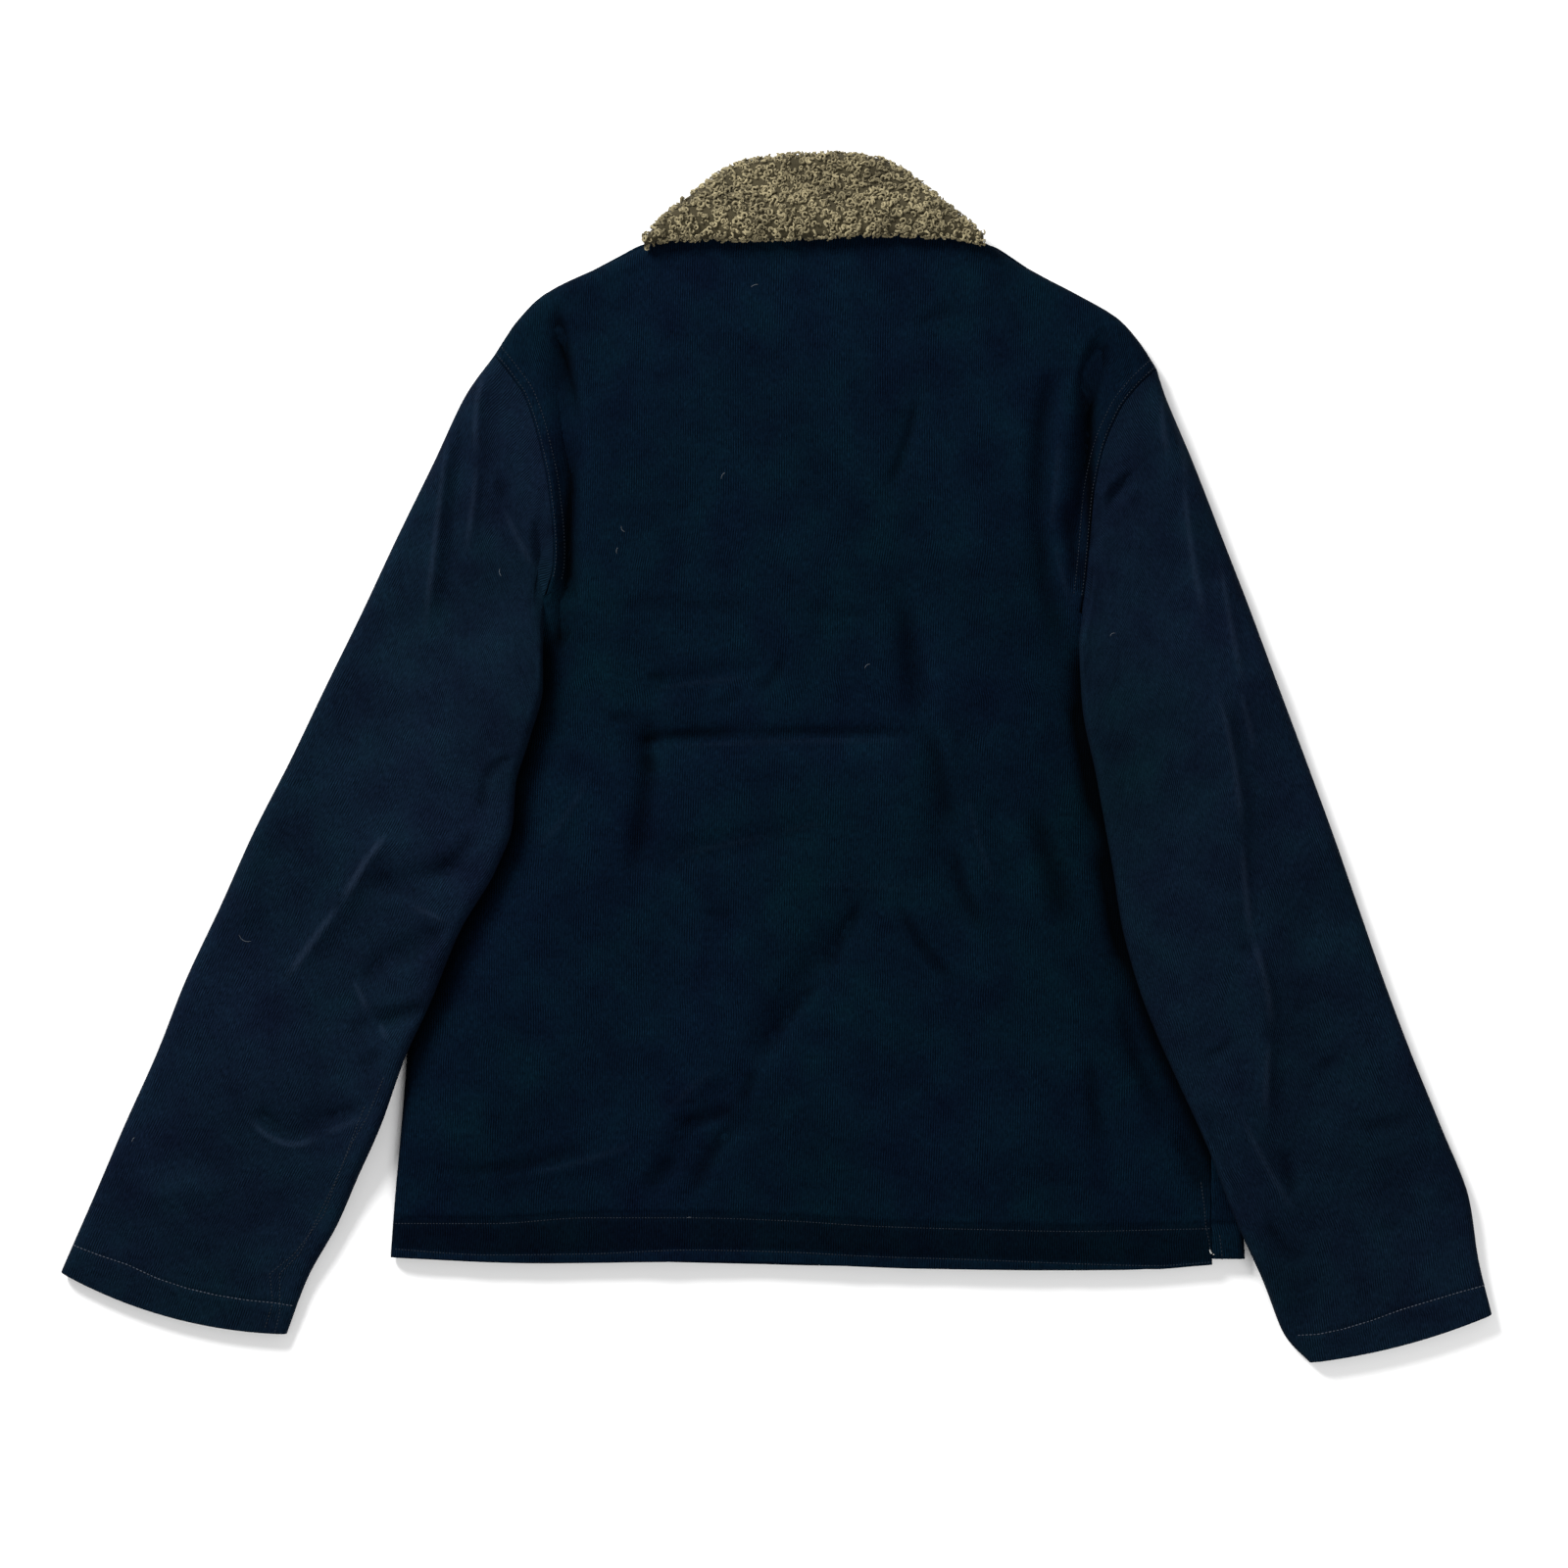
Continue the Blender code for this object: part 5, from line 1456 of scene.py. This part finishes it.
def collar_grids():
    outer, inner = [], []
    for x in np.linspace(-88.0, 136.5, 97):
        for section, grid in zip(collar_section(x), (outer, inner)):
            yz = rounded(section, SECTION_POINTS)
            drop = COLLAR_DROOP * smooth((yz[:, 0] - 357.0) / 32.0)
            grid.append(np.stack([np.full(SECTION_POINTS, x), yz[:, 0], yz[:, 1] - drop], -1))
    outer, inner = np.array(outer), np.array(inner)
    lumps = 0.5 * cloud(outer[..., 0], outer[..., 1], 26.0, 41) + 0.3 * cloud(outer[..., 0], outer[..., 1], 12.0, 42)
    outer[..., 2] += (lumps - 0.8) * (np.arange(SECTION_POINTS) < PILE_POINTS)
    return outer, inner


collar_outer, collar_inner = collar_grids()
collar_ground = shell("collar_ground", collar_outer, collar_inner, grid_uv(collar_outer, 12), pile_ground_painted_shade)

# %% [markdown]
# ### Pile on the band
#
# Only the outer face of the band has pile. A sheet with the band's own points guides the locks, so that none grows
# on the inner face, and points that would go below the surface are lifted to it.

# %% Collar pile
def guide_sheet(name, grid):
    ids = np.arange(grid.shape[0] * grid.shape[1]).reshape(grid.shape[:2])
    faces = np.stack([ids[:-1, :-1], ids[1:, :-1], ids[1:, 1:], ids[:-1, 1:]], -1).reshape(-1, 4).tolist()
    return make_object(name, grid.reshape(-1, 3), faces, [])


guide = guide_sheet("collar_guide", collar_outer[:, :PILE_POINTS])
collar_pile = grow("collar_pile", pile_tree, guide, {"Material": pile_locks})
for vertex in collar_pile.data.vertices:
    vertex.co.z = max(vertex.co.z, 0.0001)

# %% [markdown]
# ### The collar round the front
#
# The collar carries on under the jacket, where nobody sees it. It could be left out, but the solids have it. A
# plain ground with rounded edges is enough.

# %% Collar fronts
def collar_front(name, side):
    """The hidden half of the collar that goes round to the front, flat on the floor."""
    keys = np.arange(len(COLLAR_FRONT))
    rows = []
    for step in np.linspace(0, len(COLLAR_FRONT) - 1, 49):
        fx, fy, ex, ey = (float(along(keys, column(COLLAR_FRONT, c), step)) for c in range(4))
        share = np.linspace(0.0, 1.0, 25)
        x, y = fx + (ex - fx) * share, fy + (ey - fy) * share
        x = x if side < 0 else 2.0 * CENTRE_FRONT - x
        edge = roll(np.minimum(share, 1.0 - share) / 0.1)
        rows.append(np.stack([x, y, 3.9 * (1.0 - edge) + 0.1], -1))
    bottom = np.array(rows)
    top = bottom.copy()
    top[..., 2] = 8.0 - bottom[..., 2]
    return shell(name, bottom, top, grid_uv(bottom, 12), pile_ground_painted_shade, sign=side)


collar_front_left_ground = collar_front("collar_front_left_ground", -1)
collar_front_right_ground = collar_front("collar_front_right_ground", 1)


# %% [markdown]
# ## Sewing
#
# The stitch rows are what tells a viewer the size of the garment, so they get real thread: two rows on the hem, two
# beside each armhole, one on each cuff, and pairs on the side seam and the felled seam of the left sleeve. Each row
# is a line on the page that is dropped onto the cloth below it.

# %% Stitch rows
def walk(line, step=1.0):
    """Even steps along a line."""
    line = np.asarray(line, float)
    reach = np.concatenate([[0.0], np.cumsum(np.linalg.norm(np.diff(line, axis=0), axis=1))])
    at = np.arange(0.0, reach[-1], step)
    return np.stack([np.interp(at, reach, line[:, c]) for c in (0, 1)], axis=-1)


def beside(line, offset, toward):
    """A line at an even distance to one side of another."""
    way = np.gradient(line, axis=0)
    way /= np.linalg.norm(way, axis=1, keepdims=True)
    normal = np.stack([-way[:, 1], way[:, 0]], axis=1)
    return line + normal * np.sign(normal @ toward)[:, None] * offset


def tree_over(pieces):
    points, faces = [], []
    for piece in pieces:
        start = len(points)
        points += [v.co.copy() for v in piece.data.vertices]
        faces += [[start + i for i in p.vertices] for p in piece.data.polygons]
    return BVHTree.FromPolygons(points, faces)


ABOVE_ALL, LOWEST_HIT = 0.2, 0.004


def drop(lines, cloth, lift):
    """Lines on the page, laid on the cloth below; pieces of line with nothing below are left out."""
    points, edges = [], []
    for line in lines:
        last = None
        for x, y in to_world(np.column_stack([line, np.zeros(len(line))]))[:, :2]:
            hit = cloth.ray_cast(Vector((x, y, ABOVE_ALL)), Vector((0, 0, -1)))[0]
            if hit is None or hit.z < LOWEST_HIT:
                last = None
                continue
            points.append((x, y, hit.z + lift))
            if last is not None:
                edges.append((last, len(points) - 1))
            last = len(points) - 1
    return points, edges


def stitch_rows(name, lines, cloth, material, pitch, length, width, lift=0.00012):
    points, edges = drop([walk(line) for line in lines], cloth, lift)
    mesh = bpy.data.meshes.new(name + "_path")
    mesh.from_pydata(points, edges, [])
    source = bpy.data.objects.new(name + "_path", mesh)
    bpy.context.scene.collection.objects.link(source)
    values = {"Pitch": pitch, "Stitch length": length, "Thread width": width, "Material": material}
    return grow(name, thread_tree, source, values)


body_tree = tree_over([back_cloth, front_right_cloth])
sleeve_trees = {-1: tree_over([sleeve_left_cloth]), 1: tree_over([sleeve_right_cloth])}
hem_x = np.arange(-253.0, 287.5, 1.0)
hem_lines = [np.stack([hem_x, row], -1) for row in hem_rows(hem_x)]
hem_stitches = stitch_rows("hem_stitches", hem_lines, body_tree, hem_thread, 0.0021, 0.0014, 0.0007)
arm_lines = []
for arm_side in (-1, 1):
    seam, toward = armhole(arm_side, np.linspace(0.0, 0.93, 60))
    arm_lines += [beside(seam, gap, toward) for gap in ARM_ROWS]
armhole_stitches = stitch_rows("armhole_stitches", arm_lines, body_tree, hem_thread, 0.0023, 0.0014, 0.0006)
cuff_stitches = [
    stitch_rows(f"cuff_stitches_{word}", [photo_line(line)], sleeve_trees[s], cuff_thread, 0.0026, 0.0021, 0.0008)
    for word, line, s in (("left", CUFF_LEFT, -1), ("right", CUFF_RIGHT, 1))
]
fell_lines = [photo_line(FELL_OUTER), photo_line(FELL_INNER)]
sleeve_seam_stitches = stitch_rows(
    "sleeve_seam_stitches", fell_lines, sleeve_trees[-1], hem_thread, 0.0024, 0.0018, 0.0006,
)
side_lines = [
    photo_line(((1226, 1208), (1229, 1230), (1230, 1243), (1231, 1253), (1234, 1266), (1235, 1275))),
    photo_line(((1245, 1262), (1246, 1270), (1247, 1278), (1248, 1289))),
]
side_seam_stitches = stitch_rows("side_seam_stitches", side_lines, body_tree, hem_thread, 0.0024, 0.0018, 0.0006)


# %% [markdown]
# ## Lint and a loose thread end
#
# Dark napped cotton picks up lint. A few pale fibres, each a few millimetres long, are scattered where they show.

# %% Lint
LINT = (
    # photo x, y, length mm, turn degrees, bend mm
    (738, 486, 5.0, 60, 0.8), (770, 292, 5.0, 20, 0.6), (636, 540, 4.5, 120, 0.9), (630, 562, 4.0, 80, 0.5),
    (511, 584, 5.0, 100, 0.8), (885, 680, 4.5, 40, 0.9), (1135, 648, 4.0, 30, 1.0), (703, 1243, 3.0, 10, 0.4),
    (136, 1163, 3.5, 60, 0.5), (250, 957, 9.0, 150, 2.0), (1237, 1278, 4.5, 130, 0.8),
)


def fibres(name, rows, radius, material):
    """Thin bent tubes, laid on whatever cloth is below them."""
    everything = tree_over([back_cloth, front_right_cloth, sleeve_left_cloth, sleeve_right_cloth])
    points, faces = [], []
    for px, py, length, turn, bend in rows:
        centre = np.array(photo(px, py), float)
        way = np.array([math.cos(math.radians(turn)), math.sin(math.radians(turn))])
        across_way = np.array([-way[1], way[0]])
        t = np.linspace(-0.5, 0.5, 9)
        page = centre + t[:, None] * length * way + ((0.25 - t**2) * 4 * bend)[:, None] * across_way
        start = len(points)
        for n, (x, y) in enumerate(to_world(np.column_stack([page, np.zeros(9)]))[:, :2]):
            hit = everything.ray_cast(Vector((x, y, ABOVE_ALL)), Vector((0, 0, -1)))[0]
            z = (hit.z if hit else 0.0) + radius * 1.2
            thin = radius * (0.5 if n in (0, 8) else 1.0)
            side = across_way * thin
            points += [(x + side[0], y + side[1], z), (x, y, z + thin), (x - side[0], y - side[1], z), (x, y, z - thin)]
        for n in range(8):
            a, b = start + 4 * n, start + 4 * n + 4
            faces += [(a + k, a + (k + 1) % 4, b + (k + 1) % 4, b + k) for k in range(4)]
        faces += [(start, start + 3, start + 2, start + 1), tuple(start + 32 + k for k in range(4))]
    mesh = bpy.data.meshes.new(name)
    mesh.from_pydata(points, [], faces)
    mesh.materials.append(material)
    made = bpy.data.objects.new(name, mesh)
    bpy.context.scene.collection.objects.link(made)
    return made


lint_thread = thread_material("lint", (0.13, 0.15, 0.17))
white_thread = thread_material("white thread", (0.75, 0.75, 0.72))
lint_fibres = fibres("lint_fibres", LINT[:-1], 0.00013, lint_thread)
thread_end = fibres("thread_end", LINT[-1:], 0.00045, white_thread)


# %% [markdown]
# ## Floor, light and camera
#
# The photo is taken from straight above with a long lens on pure white. A pale floor takes soft light from the upper
# left; the creases show because that light is low and wide.

# %% Studio
def floor_material():
    made = bpy.data.materials.new("pale floor")
    made.use_nodes = True
    shader = made.node_tree.nodes["Principled BSDF"]
    shader.inputs["Base Color"].default_value = (0.93, 0.93, 0.93, 1.0)
    shader.inputs["Roughness"].default_value = 0.9
    shader.inputs["Specular IOR Level"].default_value = 0.1
    return made


floor_mesh = bpy.data.meshes.new("floor")
floor_mesh.from_pydata([(-6, -6, -0.0003), (6, -6, -0.0003), (6, 6, -0.0003), (-6, 6, -0.0003)], [], [(0, 1, 2, 3)])
floor_mesh.materials.append(floor_material())
floor = bpy.data.objects.new("floor", floor_mesh)
bpy.context.scene.collection.objects.link(floor)


def area_light(name, place, target, size, power, colour=(1.0, 1.0, 1.0)):
    data = bpy.data.lights.new(name, "AREA")
    data.shape, data.size, data.energy, data.color = "DISK", size, power, colour
    lamp = bpy.data.objects.new(name, data)
    lamp.location = place
    lamp.rotation_euler = (Vector(target) - Vector(place)).to_track_quat("-Z", "Y").to_euler()
    bpy.context.scene.collection.objects.link(lamp)
    return lamp


area_light("key", (-1.5, 2.0, 1.7), (0, 0, 0), 1.2, 150.0)
area_light("fill", (1.2, -1.4, 3.2), (0, 0, 0), 2.5, 60.0)
world = bpy.data.worlds.new("studio")
world.use_nodes = True
world.node_tree.nodes["Background"].inputs[0].default_value = (1.0, 1.0, 1.0, 1.0)
world.node_tree.nodes["Background"].inputs[1].default_value = 0.45
bpy.context.scene.world = world
bpy.context.scene.view_settings.view_transform = "Standard"

FIELD, HEIGHT_ABOVE, MIDDLE_Z = 1.040, 4.5, 0.015
lens = bpy.data.cameras.new("camera")
lens.sensor_width, lens.lens = 36.0, 36.0 * HEIGHT_ABOVE / FIELD
lens.clip_start, lens.clip_end = 0.1, 30.0
camera = bpy.data.objects.new("camera", lens)
camera.location = (0.00505, -0.0175, HEIGHT_ABOVE + MIDDLE_Z)
bpy.context.scene.collection.objects.link(camera)
bpy.context.scene.camera = camera


# %% [markdown]
# ## What each piece stands for
#
# Every piece rides on the one body. The shells replace their solids, which stay for collision, and the size of each
# one's cut is printed.

# %% Attach the pieces and print their cuts
CLOTHS = (
    # piece, node, held, what it rests on, pieces on it
    (back_cloth, "back", "laid", ["front_left", "front_right"], [hem_stitches, armhole_stitches, side_seam_stitches]),
    (front_left_cloth, "front_left", "laid", ["floor", "front_placket"], []),
    (front_right_cloth, "front_right", "laid", ["floor", "front_placket"], []),
    (placket_cloth, "front_placket", "laid", ["floor"], []),
    (sleeve_left_cloth, "sleeve_left", "laid", ["floor", "back"], [cuff_stitches[0], sleeve_seam_stitches]),
    (sleeve_right_cloth, "sleeve_right", "laid", ["floor", "back"], [cuff_stitches[1]]),
    (collar_ground, "collar", "folded", ["back"], [collar_pile]),
    (collar_front_left_ground, "collar_front_left", "folded", ["floor"], []),
    (collar_front_right_ground, "collar_front_right", "folded", ["floor"], []),
)


def half_area(piece):
    return sum(face.area for face in piece.data.polygons) / 2.0


for piece, node_name, held, under, on_it in CLOTHS:
    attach(piece, "root")
    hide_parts(node_name)
    uv = np.empty(len(piece.data.loops) * 2)
    piece.data.uv_layers["cloth"].data.foreach_get("uv", uv)
    uv = uv.reshape(-1, 2)
    width, length = (float(v) for v in np.ptp(uv, axis=0))
    area = half_area(piece)
    share = round(area / width / length, 3)
    print("CUT", piece.name, round(width, 4), round(length, 4), "half area", round(area, 4), "share", share)
sewn_on = (hem_stitches, armhole_stitches, side_seam_stitches, sleeve_seam_stitches, *cuff_stitches)
for piece in (*sewn_on, lint_fibres, thread_end):
    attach(piece, "root")
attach(collar_pile, "root")
